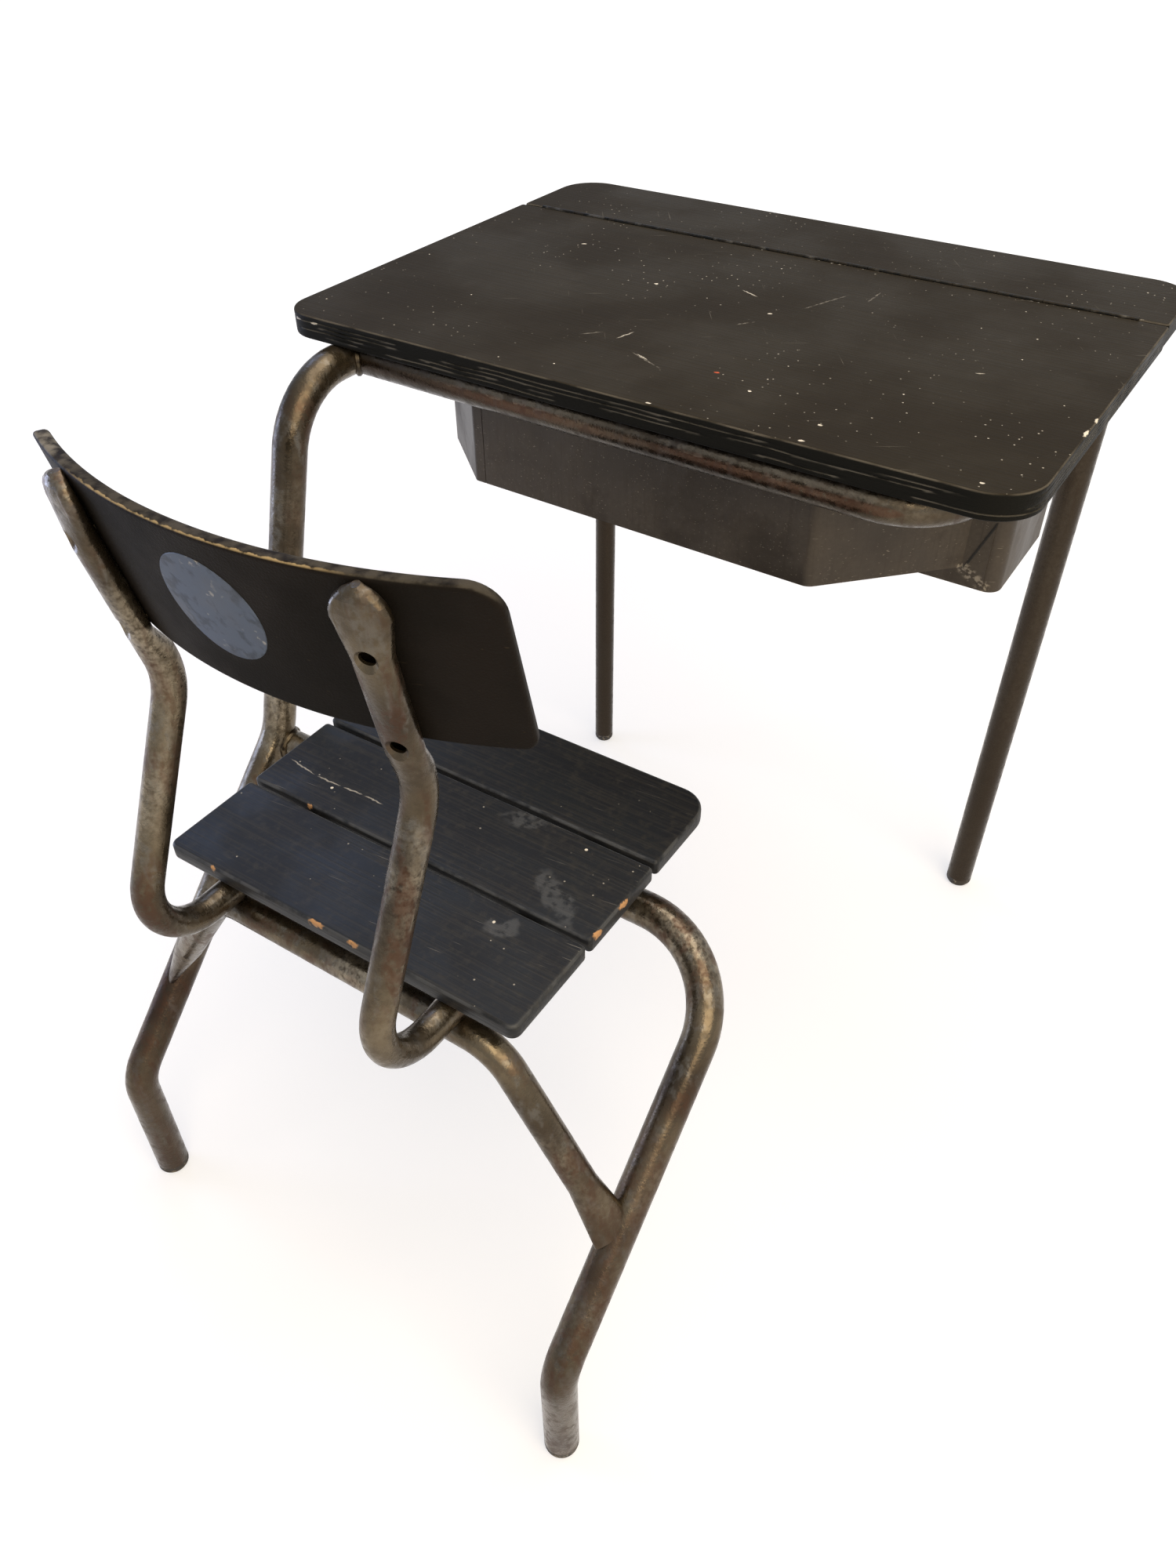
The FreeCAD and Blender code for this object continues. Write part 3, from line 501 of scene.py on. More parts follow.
def line_mark(tree, where, start, end, width):
    """Full along a straight line in space, none beyond twice its width."""
    run = Vector(end) - Vector(start)
    ahead = tuple(run.normalized())
    offset = add_node(tree, "ShaderNodeVectorMath", {"operation": "SUBTRACT"}, {0: where, 1: start})
    along = add_node(tree, "ShaderNodeVectorMath", {"operation": "DOT_PRODUCT"},
                     {0: offset.outputs[0], 1: ahead})
    held = add_node(tree, "ShaderNodeMapRange",
                    inputs={"Value": along.outputs["Value"], "From Max": run.length, "To Max": run.length})
    foot = add_node(tree, "ShaderNodeVectorMath", {"operation": "SCALE"},
                    {0: ahead, "Scale": held.outputs[0]})
    gap = add_node(tree, "ShaderNodeVectorMath", {"operation": "DISTANCE"},
                   {0: offset.outputs[0], 1: foot.outputs[0]})
    return spread(tree, gap.outputs["Value"], 2 * width, width)


def layers(tree, ground, *coats):
    """Lays coats over a ground colour, each with a mask, a colour and how much of it covers."""
    colour = tuple(ground)
    for mask, coat, cover in coats:
        share = combined(tree, "MULTIPLY", mask, cover)
        mix = add_node(tree, "ShaderNodeMix", {"data_type": "RGBA"}, {0: share, 6: colour, 7: tuple(coat)})
        colour = mix.outputs[2]
    return colour


# Drawn mild steel tube, bent cold and left bare. Years of hands and shoes have browned it: the eye sees
# a dark bronze metal with grey streaks where the brown is thin, rubbed bright spots, dull rusty blooms and
# a soft broken shine. The shins are darker and rustier, and the far legs are darkest, which is painted
# shade. The front rail is darker too, with a streak of rust along its face and a painted highlight along
# its brow.
def aged_tube_steel(colours, name, rusty_rail):
    material, tree, where, normal = new_material(name)
    across, away, up = add_node(tree, "ShaderNodeSeparateXYZ", inputs={0: where}).outputs
    cloud = patches(tree, where, tube_cloud, low=0.26, high=0.70, seed=1.0)
    mottle = patches(tree, where, tube_mottle, low=0.40, high=0.70, seed=2.0)
    rubbed = combined(tree, "MULTIPLY",
                      patches(tree, where, tube_rub, low=0.48, high=0.70, seed=3.0),
                      patches(tree, where, tube_rub_grain, low=0.28, high=0.64, seed=4.0))
    lane = stretched(tree, where, (tube_streak, tube_streak, tube_streak_run))
    bloom = combined(tree, "MULTIPLY",
                     patches(tree, where, tube_bloom, low=0.40, high=0.58, seed=5.0),
                     patches(tree, lane, lane_unit, low=0.46, high=0.58, seed=5.5),
                     patches(tree, where, tube_bloom_grain, low=0.30, high=0.55, seed=6.0))
    thin = combined(tree, "MULTIPLY",
                    patches(tree, lane, lane_unit, low=0.50, high=0.62, seed=4.5),
                    patches(tree, where, tube_bloom_grain, low=0.36, high=0.56, seed=4.7))
    # Painted shade: the darkest brown laid over the far legs, growing towards the back
    far_leg_shade = spread(tree, away, tube_far_shade_start, tube_far_shade_end)
    shin = spread(tree, up, tube_shin_top, tube_shin_low)
    shin_rust = combined(tree, "MULTIPLY", shin,
                         patches(tree, lane, lane_unit, low=0.36, high=0.56, seed=3.5))
    coats = [
        (cloud, colours.tube_middle, 1.0),
        (mottle, colours.tube_dark, 0.26),
        (thin, colours.tube_grey, 0.42),
        (rubbed, colours.tube_bright, 0.50),
        (bloom, colours.rust, 0.46),
        (shin, colours.tube_dark, 0.36),
        (shin_rust, colours.rust, 0.22),
        # Painted shade on the far legs
        (far_leg_shade, colours.tube_dark, 0.92),
    ]
    if rusty_rail:
        rail_lane = stretched(tree, where, (rail_run, rail_rust_width, rail_rust_width))
        rail = spread(tree, up, rail_low, rail_high)
        streaked = patches(tree, rail_lane, lane_unit, low=0.30, high=0.46, seed=7.0)
        worn = combined(tree, "MULTIPLY", rail, streaked)
        ragged = patches(tree, where, rail_ragged, low=0.2, high=0.8, seed=10.0)
        shake = spread(tree, ragged, 0.0, 1.0, -rail_shake, rail_shake)
        streak = combined(tree, "MULTIPLY", worn,
                          facing(tree, normal, rail_face, low=0.935, high=0.97, shake=shake),
                          patches(tree, where, rail_grain, low=0.22, high=0.46, seed=6.5))
        # Painted highlight: a broken bright line along the rail's brow under the lid
        rim = combined(tree, "MULTIPLY", worn,
                       facing(tree, normal, rail_highlight_brow, low=0.980, high=0.995, shake=shake),
                       patches(tree, where, rail_grain, low=0.25, high=0.50, seed=8.0))
        dull = spread(tree, across, rail_dull_end, rail_dull_start)
        coats += [
            (rail, colours.tube_dark, 0.60),
            (streak, colours.rust, 0.50),
            # Painted highlight along the rail's brow
            (rim, colours.tube_bright, 0.14),
            (dull, colours.tube_dark, 0.80),
        ]
    colour = layers(tree, colours.tube_dark, *coats)
    matt = combined(tree, "MAXIMUM", mottle, bloom)
    pits = patches(tree, where, tube_pit, low=0.30, high=0.70, seed=9.0, detail=3.0)
    close_material(tree, colour, (matt, 0.22, 0.44), (pits, tube_pit_depth), {"Metallic": 0.85})
    return material


# Cold rolled sheet steel, folded, with a thin dull brown varnish: flat planes that catch soft light
# with cloudy stains, fine handling scratches and slightly uneven faces. Thin dark lines of painted shadow
# lie where one sheet laps another, and the corner flap is scuffed bright along its foot.
def stained_sheet_steel(colours):
    material, tree, where = new_material("stained folded sheet steel")[:3]
    cloud = patches(tree, where, sheet_cloud, low=0.34, high=0.66, seed=11.0)
    grain = patches(tree, where, sheet_grain, low=0.30, high=0.70, seed=12.0)
    stain = patches(tree, where, sheet_stain, low=0.52, high=0.68, seed=13.0)
    lane = stretched(tree, where, (sheet_grain, sheet_grain, sheet_run))
    runs = patches(tree, lane, lane_unit, low=0.50, high=0.72, seed=15.0)
    fine = scratches(tree, where, sheet_scratch, turn=0.5, low=0.66, high=0.74, seed=14.0)
    low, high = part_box("tray_flap")
    tip = (low.x, low.y, flap_foot)
    # Painted shadow: a thin dark line along the corner flap's slanted edge
    flap_edge_shadow = line_mark(tree, where, tip, (high.x, low.y, high.z), shadow_line_width)
    scuffed = combined(tree, "MULTIPLY",
                       line_mark(tree, where, tip, (high.x, low.y, low.z), flap_scuff_width),
                       patches(tree, where, sheet_grain, low=0.48, high=0.62, seed=16.0))
    low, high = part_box("tray_front")
    lap_x = low.x + front_lap
    # Painted shadow: a thin dark line where the front sheet meets the left wing
    lap_edge_shadow = line_mark(tree, where, (lap_x, low.y, low.z), (lap_x, low.y, high.z), shadow_line_width)
    colour = layers(
        tree, colours.sheet_dark,
        (cloud, colours.sheet_light, 1.0),
        (grain, colours.sheet_dark, 0.30),
        (stain, colours.tube_dark, 0.55),
        (runs, colours.tube_dark, 0.35),
        (fine, colours.tube_bright, 0.30),
        # Both painted shadow lines, in the black of the board's edge
        (combined(tree, "MAXIMUM", flap_edge_shadow, lap_edge_shadow), colours.board_edge, 0.85),
        (scuffed, colours.tube_bright, 0.45),
    )
    close_material(tree, colour, (cloud, 0.42, 0.58), (cloud, sheet_waviness), {"Metallic": 0.55})
    return material


# Plywood with a brushed coat of satin black paint: nearly even brown black on top, freckled with dry
# specks and a few hair scratches, plain black down the edges, with a grey painted highlight on the upper
# rim and a pale painted highlight on the lips of the open ply lines, and flaked off in places along the
# join of lid and rear board.
def painted_table_board(colours):
    material, tree, where, normal = new_material("satin black painted plywood")
    away, up = add_node(tree, "ShaderNodeSeparateXYZ", inputs={0: where}).outputs[1:]
    cloud = patches(tree, where, board_cloud, low=0.35, high=0.65, seed=21.0)
    haze = patches(tree, where, board_haze, low=0.45, high=0.75, seed=28.0)
    lane = stretched(tree, where, (board_brush_run, board_brush, board_brush))
    brushed = patches(tree, lane, lane_unit, low=0.35, high=0.65, seed=22.0, detail=2.0)
    top = facing(tree, normal, upward, low=0.90, high=0.99)
    below = spread(tree, up, table_top - board_rim, table_top - 2 * board_rim)
    side = combined(tree, "MAXIMUM", below, facing(tree, normal, upward, low=0.80, high=0.50))
    # Painted highlight: worn paint grey along the rounded upper rim
    rim = combined(tree, "MULTIPLY",
                   facing(tree, normal, upward, low=0.20, high=0.55),
                   facing(tree, normal, upward, low=0.99, high=0.90),
                   spread(tree, up, table_top - 2 * board_rim, table_top - board_rim),
                   patches(tree, where, board_rim_highlight, low=0.30, high=0.60, seed=23.0))
    # Painted highlight: pale on the upward lips of the ply grooves
    ply_lip_highlight = combined(tree, "MULTIPLY", below,
                    facing(tree, normal, upward, low=0.12, high=0.40),
                    patches(tree, where, board_rim_highlight, low=0.32, high=0.56, seed=20.0))
    dust = combined(tree, "MULTIPLY",
                    specks(tree, where, board_dust_gap, board_dust, share=0.40, seed=0.37), top,
                    patches(tree, where, board_crowd, low=0.40, high=0.60, seed=29.0))
    bits = combined(tree, "MULTIPLY",
                    specks(tree, where, board_bit_gap, board_bit, share=0.45, seed=1.71), top)
    crossed = combined(tree, "MAXIMUM",
                       scratches(tree, where, board_hair, turn=0.55, low=0.70, high=0.77, seed=24.0),
                       scratches(tree, where, board_hair, turn=-0.95, low=0.71, high=0.78, seed=25.0))
    hair = combined(tree, "MULTIPLY", crossed,
                    patches(tree, where, board_crowd, low=0.46, high=0.60, seed=27.0), top)
    ragged = warped(tree, where, ragged_size, ragged_amount)
    chips = marks(tree, ragged, board_chips, chip_width, table_top)
    gouges = marks(tree, ragged, board_gouges, gouge_width, table_top)
    faint = combined(tree, "MULTIPLY",
                     marks(tree, ragged, board_faint, gouge_width, table_top),
                     patches(tree, where, ragged_size, low=0.35, high=0.60, seed=26.0))
    nicks = marks(tree, ragged, board_nicks, nick_reach, table_top - board_nick_drop, nick_half)
    red = marks(tree, ragged, board_red, chip_width, table_top)
    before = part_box("lid_board")[1].y
    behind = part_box("rear_board")[0].y
    flakes = combined(tree, "MULTIPLY",
                      spread(tree, away, before - flake_reach, before - flake_start),
                      spread(tree, away, behind + flake_reach, behind + flake_start),
                      patches(tree, where, flake_size, low=0.58, high=0.66, seed=19.0),
                      patches(tree, where, board_crowd, low=0.42, high=0.56, seed=18.0))
    colour = layers(
        tree, colours.board,
        (cloud, colours.board_shade, 1.0),
        (haze, colours.board_haze, 0.30),
        (brushed, colours.board_edge, 0.16),
        (side, colours.board_edge, 1.0),
        # Painted highlight on the upper rim
        (rim, colours.worn_paint, 0.75),
        # Painted highlight on the ply lips
        (ply_lip_highlight, colours.fleck, 0.12),
        (hair, colours.fleck, 0.22),
        (faint, colours.fleck, 0.22),
        (dust, colours.fleck, 0.60),
        (combined(tree, "MAXIMUM", bits, chips), colours.fleck, 1.0),
        (gouges, colours.fleck, 0.60),
        (nicks, colours.fleck, 0.85),
        (red, colours.red_fleck, 1.0),
        (flakes, colours.fleck, 0.60),
    )
    relief = combined(tree, "ADD", brushed, dust, bits)
    close_material(tree, colour, (cloud, 0.38, 0.50), (relief, paint_relief), {"Specular IOR Level": 0.03})
    return material


# Solid wood slats under old black gloss that has gone dull: a blue black skin with open grain, cloudy
# scuffs, a soft painted highlight along the rounded edges, and chips down to bare wood.
def chipped_slat_paint(colours):
    material, tree, where, normal = new_material("chipped black paint on solid wood")
    cloud = patches(tree, where, slat_cloud, low=0.35, high=0.65, seed=31.0)
    lane = stretched(tree, where, (slat_grain_run, slat_grain, slat_grain))
    grain = patches(tree, lane, lane_unit, low=0.42, high=0.70, seed=32.0, detail=3.0)
    bloom = patches(tree, where, slat_bloom, low=0.48, high=0.72, seed=38.0)
    top = facing(tree, normal, upward, low=0.90, high=0.99)
    # Painted highlight: scuff grey laid along the slats' rounded edges, between their tops and sides
    rim = combined(tree, "MULTIPLY",
                   facing(tree, normal, upward, low=0.10, high=0.50),
                   facing(tree, normal, upward, low=0.99, high=0.88),
                   patches(tree, where, slat_rim_highlight, low=0.36, high=0.58, seed=33.0))
    ragged = warped(tree, where, ragged_size, ragged_amount)
    torn = warped(tree, where, chip_ragged, chip_amount)
    smeared = warped(tree, where, scuff_ragged, scuff_amount)
    chips = marks(tree, torn, slat_chips, slat_chip_width, seat_top - slat_chip_drop)
    dots = marks(tree, where, slat_dots, slat_dot, seat_top)
    line = marks(tree, ragged, slat_gouges, gouge_width, seat_top)
    dust = combined(tree, "MULTIPLY",
                    specks(tree, where, slat_dust_gap, slat_dust, share=0.30, seed=0.83), top,
                    patches(tree, where, slat_cloud, low=0.46, high=0.56, seed=36.0))
    scuff = combined(tree, "MULTIPLY",
                     marks(tree, smeared, slat_scuffs, scuff_width, seat_top),
                     patches(tree, where, scuff_grain, low=0.36, high=0.54, seed=34.0))
    hair = combined(tree, "MULTIPLY",
                    scratches(tree, where, slat_hair, turn=0.1, low=0.68, high=0.76, seed=35.0),
                    patches(tree, where, slat_cloud, low=0.44, high=0.60, seed=37.0), top)
    colour = layers(
        tree, colours.slat,
        (cloud, colours.slat_shade, 1.0),
        (grain, colours.slat_grain, 0.42),
        (bloom, colours.slat_grain, 0.45),
        (scuff, colours.scuff, 0.38),
        # Painted highlight along the rounded edges
        (rim, colours.scuff, 0.45),
        (hair, colours.fleck, 0.25),
        (line, colours.fleck, 0.40),
        (dust, colours.fleck, 0.40),
        (dots, colours.fleck, 1.0),
        (chips, colours.bare_wood, 1.0),
    )
    close_material(tree, colour, (cloud, 0.34, 0.48), (grain, paint_relief), {"Specular IOR Level": 0.17})
    return material


# Bent plywood under matt black paint, rubbed through along the middle of its top edge, where hands pull
# the chair, and greyed along the rest of it.
def rubbed_panel_paint(colours):
    material, tree, where, normal = new_material("matt black painted bent plywood")
    across = add_node(tree, "ShaderNodeSeparateXYZ", inputs={0: where}).outputs[0]
    cloud = patches(tree, where, panel_cloud, low=0.35, high=0.65, seed=41.0)
    weave = patches(tree, where, panel_weave, low=0.30, high=0.70, seed=42.0, detail=2.0)
    held = combined(tree, "MULTIPLY",
                    spread(tree, across, panel_held_left - panel_held_fade, panel_held_left),
                    spread(tree, across, panel_held_right + panel_held_fade, panel_held_right))
    end = spread(tree, across, panel_end + panel_held_fade, panel_end)
    ragged = patches(tree, where, panel_ragged, low=0.2, high=0.8, seed=47.0)
    shake = spread(tree, ragged, 0.0, 1.0, -panel_shake, panel_shake)
    rear_edge = facing(tree, normal, panel_brow, low=0.80, high=0.93, shake=shake)
    upper_edge = facing(tree, normal, upward, low=0.35, high=0.80)
    bare = combined(tree, "MULTIPLY", rear_edge, held, upper_edge,
                    patches(tree, where, panel_wear, low=0.20, high=0.46, seed=43.0))
    grey = combined(tree, "MULTIPLY", upper_edge,
                    patches(tree, where, panel_grey, low=0.34, high=0.62, seed=46.0))
    pale = combined(tree, "MULTIPLY", grey, end)
    fine = scratches(tree, where, board_hair, turn=0.3, low=0.72, high=0.78, seed=45.0)
    colour = layers(
        tree, colours.panel,
        (cloud, colours.panel_shade, 1.0),
        (weave, colours.board_edge, 0.25),
        (fine, colours.worn_wood, 0.12),
        (grey, colours.worn_paint, 0.45),
        (pale, colours.fleck, 0.20),
        (bare, colours.worn_wood, 0.85),
    )
    close_material(tree, colour, (cloud, 0.55, 0.68), (weave, paint_relief), {"Specular IOR Level": 0.05})
    return material


# A thin disc of dull blue grey paint, scuffed dark where the chair has knocked against things.
def scuffed_grey_paint(colours):
    material, tree, where = new_material("scuffed dull grey paint")[:3]
    cloud = patches(tree, where, disc_cloud, low=0.35, high=0.65, seed=51.0)
    dents = combined(tree, "MULTIPLY",
                     patches(tree, where, disc_dent, low=0.48, high=0.58, seed=52.0),
                     patches(tree, where, disc_dent_grain, low=0.40, high=0.56, seed=53.0))
    flecks = combined(tree, "MULTIPLY",
                      patches(tree, where, disc_dent_grain, low=0.62, high=0.70, seed=54.0),
                      patches(tree, where, disc_cloud, low=0.45, high=0.60, seed=55.0))
    colour = layers(
        tree, colours.disc,
        (cloud, colours.disc_shade, 1.0),
        (dents, colours.board_edge, 0.45),
        (flecks, colours.fleck, 0.40),
    )
    close_material(tree, colour, (cloud, 0.40, 0.55), (dents, paint_relief), {"Specular IOR Level": 0.15})
    return material


# Turned and pressed steel of hinges, screws and welds: small dull metal, clouded between two tones and
# stained in places.
def worn_small_steel(name, first, second, stain, seed):
    material, tree, where = new_material(name)[:3]
    cloud = patches(tree, where, steel_cloud, low=0.38, high=0.62, seed=seed)
    stained = patches(tree, where, steel_stain, low=0.54, high=0.68, seed=seed + 1.0)
    colour = layers(tree, first, (cloud, second, 1.0), (stained, stain, 0.5))
    close_material(tree, colour, (cloud, 0.34, 0.52), (cloud, steel_relief), {"Metallic": 0.9})
    return material


# Moulded rubber feet, greyed by floor dust and scuffed pale in places.
def dusty_rubber(colours):
    material, tree, where = new_material("moulded rubber with floor dust")[:3]
    cloud = patches(tree, where, rubber_cloud, low=0.36, high=0.64, seed=71.0)
    scuff = patches(tree, where, rubber_scuff, low=0.52, high=0.64, seed=72.0)
    colour = layers(
        tree, colours.rubber,
        (cloud, colours.sheet_dark, 1.0),
        (scuff, colours.tube_bright, 0.4),
    )
    close_material(tree, colour, (cloud, 0.60, 0.80), (scuff, steel_relief), {})
    return material


def dress(names, material):
    """Gives one material to frame nodes."""
    for name in names:
        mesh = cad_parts[name].data
        mesh.materials.clear()
        mesh.materials.append(material)


def make_piece(name, builder, material, body, nodes=()):
    """Turns a finished bmesh into a piece that rides on a body and may stand for frame nodes."""
    bmesh.ops.recalc_face_normals(builder, faces=builder.faces)
    mesh = bpy.data.meshes.new(name)
    builder.to_mesh(mesh)
    builder.free()
    mesh.materials.append(material)
    for face in mesh.polygons:
        face.use_smooth = True
    mesh.set_sharp_from_angle(angle=math.radians(crease_angle))
    piece = bpy.data.objects.new(name, mesh)
    bpy.context.scene.collection.objects.link(piece)
    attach(piece, body)
    if nodes:
        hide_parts(*nodes)
    return piece


def bridge(builder, rings, closed=True):
    """Faces between rings of equal count, one after the other."""
    for low, high in zip(rings, rings[1:]):
        count = len(low)
        for index in range(count if closed else count - 1):
            after = (index + 1) % count
            builder.faces.new((low[index], low[after], high[after], high[index]))


def edge_profile(thickness, radius, grooves=()):
    """Steps up the edge of a board as inset, height and groove share, rounded at both faces."""
    angles = [math.pi / 2 * step / round_steps for step in range(round_steps + 1)]
    steps = [(radius + cap_margin, 0.0, 0.0)]
    steps += [(radius - radius * math.sin(a), radius - radius * math.cos(a), 0.0) for a in angles]
    for height in grooves:
        steps += [(0.0, height - ply_groove_half, 0.0), (0.0, height, 1.0),
                  (0.0, height + ply_groove_half, 0.0)]
    shoulder = thickness - radius
    steps += [(radius - radius * math.cos(a), shoulder + radius * math.sin(a), 0.0) for a in angles]
    steps.append((radius + cap_margin, thickness, 0.0))
    return steps


def rounded_plan(low, high, radii):
    """Plan outline of a board with its outward directions, from its front left corner round."""
    signs = ((-1, -1), (1, -1), (1, 1), (-1, 1))
    outline = []
    for index, (sign, radius) in enumerate(zip(signs, radii)):
        corner = Vector((low.x if sign[0] < 0 else high.x, low.y if sign[1] < 0 else high.y))
        centre = corner - Vector(sign) * radius
        start = math.pi + index * math.pi / 2
        for step in range(corner_steps + 1):
            angle = start + math.pi / 2 * step / corner_steps
            outward = Vector((math.cos(angle), math.sin(angle)))
            outline.append((centre + outward * radius, outward))
    return outline


def stepped_plan(outline):
    """The same outline with its straight runs divided into short steps."""
    whole = []
    for index, (place, outward) in enumerate(outline):
        after = outline[(index + 1) % len(outline)][0]
        whole.append((place, outward))
        run = after - place
        parts = int(run.length / edge_step)
        if parts > 1:
            side = Vector((run.y, -run.x)).normalized()
            whole += [(place + run * (step / parts), side) for step in range(1, parts)]
    return whole


def board(outline, bottom, profile, seed):
    """A closed board with rounded edges and wavering grooves along its ply lines."""
    builder = bmesh.new()
    rings = []
    for inset, height, groove in profile:
        ring = []
        for place, outward in outline:
            spot = Vector((place.x, place.y, height + seed)) / ply_waver_length
            waver = noise.noise(spot) * ply_waver
            line = Vector((place.x, place.y, height * ply_apart)) / ply_break_length
            opening = ply_open_share + ply_open_swing * noise.noise(line + Vector((seed, 0, 0)))
            shift = inset + groove * ply_groove_depth * min(max(opening, 0.0), 1.0)
            lift = waver if groove or inset == 0.0 else 0.0
            ring.append(builder.verts.new((place.x - outward.x * shift, place.y - outward.y * shift,
                                           bottom + height + lift)))
        rings.append(ring)
    bridge(builder, rings)
    builder.faces.new(rings[0])
    builder.faces.new(rings[-1])
    return builder


def panel_columns(half, radius):
    """Places across the backrest, close together round its corners."""
    angles = [math.pi / 2 * step / corner_steps for step in range(corner_steps + 1)]
    arcs = [radius - radius * math.cos(angle) for angle in angles]
    straight = half - radius
    count = int(2 * straight / edge_step)
    middle = [-straight + 2 * straight * step / count for step in range(1, count)]
    left = [-half + reach for reach in arcs]
    return left + middle + [-place for place in reversed(left)]


def corner_drop(place, half, radius):
    """How far a rounded corner stands in from the edge at a place across."""
    past = abs(place) - (half - radius)
    if past <= 0:
        return 0.0
    return radius - math.sqrt(max(radius ** 2 - past ** 2, 0.0))


class BackrestShape:
    """The bent, leaning panel: from a place across, a height and a depth to a point in space."""

    def __init__(self, sizes):
        self.sizes = sizes
        self.low, self.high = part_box("backrest_panel")
        self.left = self.arc_from(self.low.x)
        self.right = self.arc_from(self.high.x)
        self.half = (self.right - self.left) / 2
        self.middle = (self.right + self.left) / 2

    def arc_from(self, x):
        return self.sizes.panel_radius * math.asin((x - self.sizes.panel_middle) / self.sizes.panel_radius)

    def point(self, across, height, depth):
        angle = (self.middle + across) / self.sizes.panel_radius
        reach = self.sizes.panel_radius - depth
        centre_y = self.low.y + self.sizes.panel_radius + (height - self.high.z) * self.sizes.panel_lean
        return Vector((self.sizes.panel_middle + reach * math.sin(angle),
                       centre_y - reach * math.cos(angle), height))


def backrest(shape, sizes):
    """The panel as a closed shell: bent faces joined by a rounded edge all round."""
    builder = bmesh.new()
    tops = []
    bottoms = []
    rings = []
    for inset, depth in [step[:2] for step in edge_profile(sizes.panel_thickness, sizes.panel_edge)]:
        half = shape.half - inset
        top_radius = sizes.panel_top_corner - inset
        bottom_radius = sizes.panel_bottom_corner - inset
        top = []
        bottom = []
        for across in panel_columns(half, top_radius):
            high = shape.high.z - inset - corner_drop(across, half, top_radius)
            low = shape.low.z + inset + corner_drop(across, half, bottom_radius)
            top.append(builder.verts.new(shape.point(across, high, depth)))
            bottom.append(builder.verts.new(shape.point(across, low, depth)))
        tops.append(top)
        bottoms.append(bottom)
        rings.append(top + list(reversed(bottom)))
    bridge(builder, rings)
    for end in (0, -1):
        bridge(builder, [bottoms[end], tops[end]], closed=False)
    return builder


def disc_on_back(shape, sizes):
    """A thin round disc that follows the bent back of the panel."""
    builder = bmesh.new()
    across = shape.arc_from(sizes.panel_middle) - shape.middle
    steps = [(step / disc_rings, sizes.disc_thickness) for step in range(1, disc_rings + 1)]
    steps.append((1 + sizes.disc_thickness / sizes.disc_radius, 0.0))
    tip = builder.verts.new(shape.point(across, sizes.disc_height, -sizes.disc_thickness))
    root = builder.verts.new(shape.point(across, sizes.disc_height, sizes.disc_thickness))
    rings = []
    for share, stand in steps + [(share, -stand) for share, stand in reversed(steps[:-1])]:
        ring = []
        for spoke in range(disc_spokes):
            angle = 2 * math.pi * spoke / disc_spokes
            reach = share * sizes.disc_radius
            ring.append(builder.verts.new(shape.point(across + reach * math.cos(angle),
                                                      sizes.disc_height + reach * math.sin(angle), -stand)))
        rings.append(ring)
    bridge(builder, rings)
    for spoke in range(disc_spokes):
        after = (spoke + 1) % disc_spokes
        builder.faces.new((tip, rings[0][spoke], rings[0][after]))
        builder.faces.new((root, rings[-1][after], rings[-1][spoke]))
    return builder


def weld_loop(target, start, direction, half_width, half_height):
    """Points where the skin of a tube meets another one, found by rays along the tube."""
    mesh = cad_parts[target].data
    tree = BVHTree.FromPolygons([v.co for v in mesh.vertices], [tuple(p.vertices) for p in mesh.polygons])
    ahead = Vector(direction).normalized()
    helper = Vector((0, 1, 0)) if abs(ahead.z) > abs(ahead.x) else Vector((0, 0, 1))
    across = ahead.cross(helper).normalized()
    rise = across.cross(ahead)
    rim = []
    for step in range(weld_ring_steps):
        angle = 2 * math.pi * step / weld_ring_steps
        offset = across * (half_width * math.cos(angle)) + rise * (half_height * math.sin(angle))
        place = Vector(start) + offset * weld_rim_share
        rim.append((place, tree.ray_cast(place, ahead)[3]))
    farthest = max(reach for place, reach in rim if reach is not None)
    loop = []
    for place, reach in rim:
        met = farthest if reach is None else reach
        loop.append(place + ahead * (met - weld_pull_back))
    return loop


def weld_bead(loop, radius, seed):
    """A rippled bead of weld along a closed loop of points."""
    builder = bmesh.new()
    rings = []
    run = 0.0
    middle = sum(loop, Vector()) / len(loop)
    for index, place in enumerate(loop):
        before = loop[index - 1]
        after = loop[(index + 1) % len(loop)]
        run += (place - before).length
        along = (after - before).normalized()
        out = place - middle
        out = (out - along * out.dot(along)).normalized()
        side = along.cross(out)
        ripple = 1 + weld_ripple_share * math.sin(2 * math.pi * run / weld_ripple_length)
        lump = noise.noise(place * weld_lumps_per_metre + Vector((seed, 0, 0))) / weld_lump_divisor
        size = radius * ripple * (1 + lump)
        ring = []
        for step in range(weld_bead_steps):
            angle = 2 * math.pi * step / weld_bead_steps
            ring.append(builder.verts.new(place + (out * math.cos(angle) + side * math.sin(angle)) * size))
        rings.append(ring)
    bridge(builder, rings + [rings[0]])
    return builder


class DESK_OT_tubes(Operator):
    """Finishes the steel tubes of the frame"""

    bl_idname = "desk.tubes"
    bl_label = "Tubes"

    def execute(self, context):
        colours = context.scene.desk_colours
        dress(tube_nodes, aged_tube_steel(colours, "bare bent steel tube", False))
        dress(rail_nodes, aged_tube_steel(colours, "bare bent steel tube with a rusty rail", True))
        return {"FINISHED"}


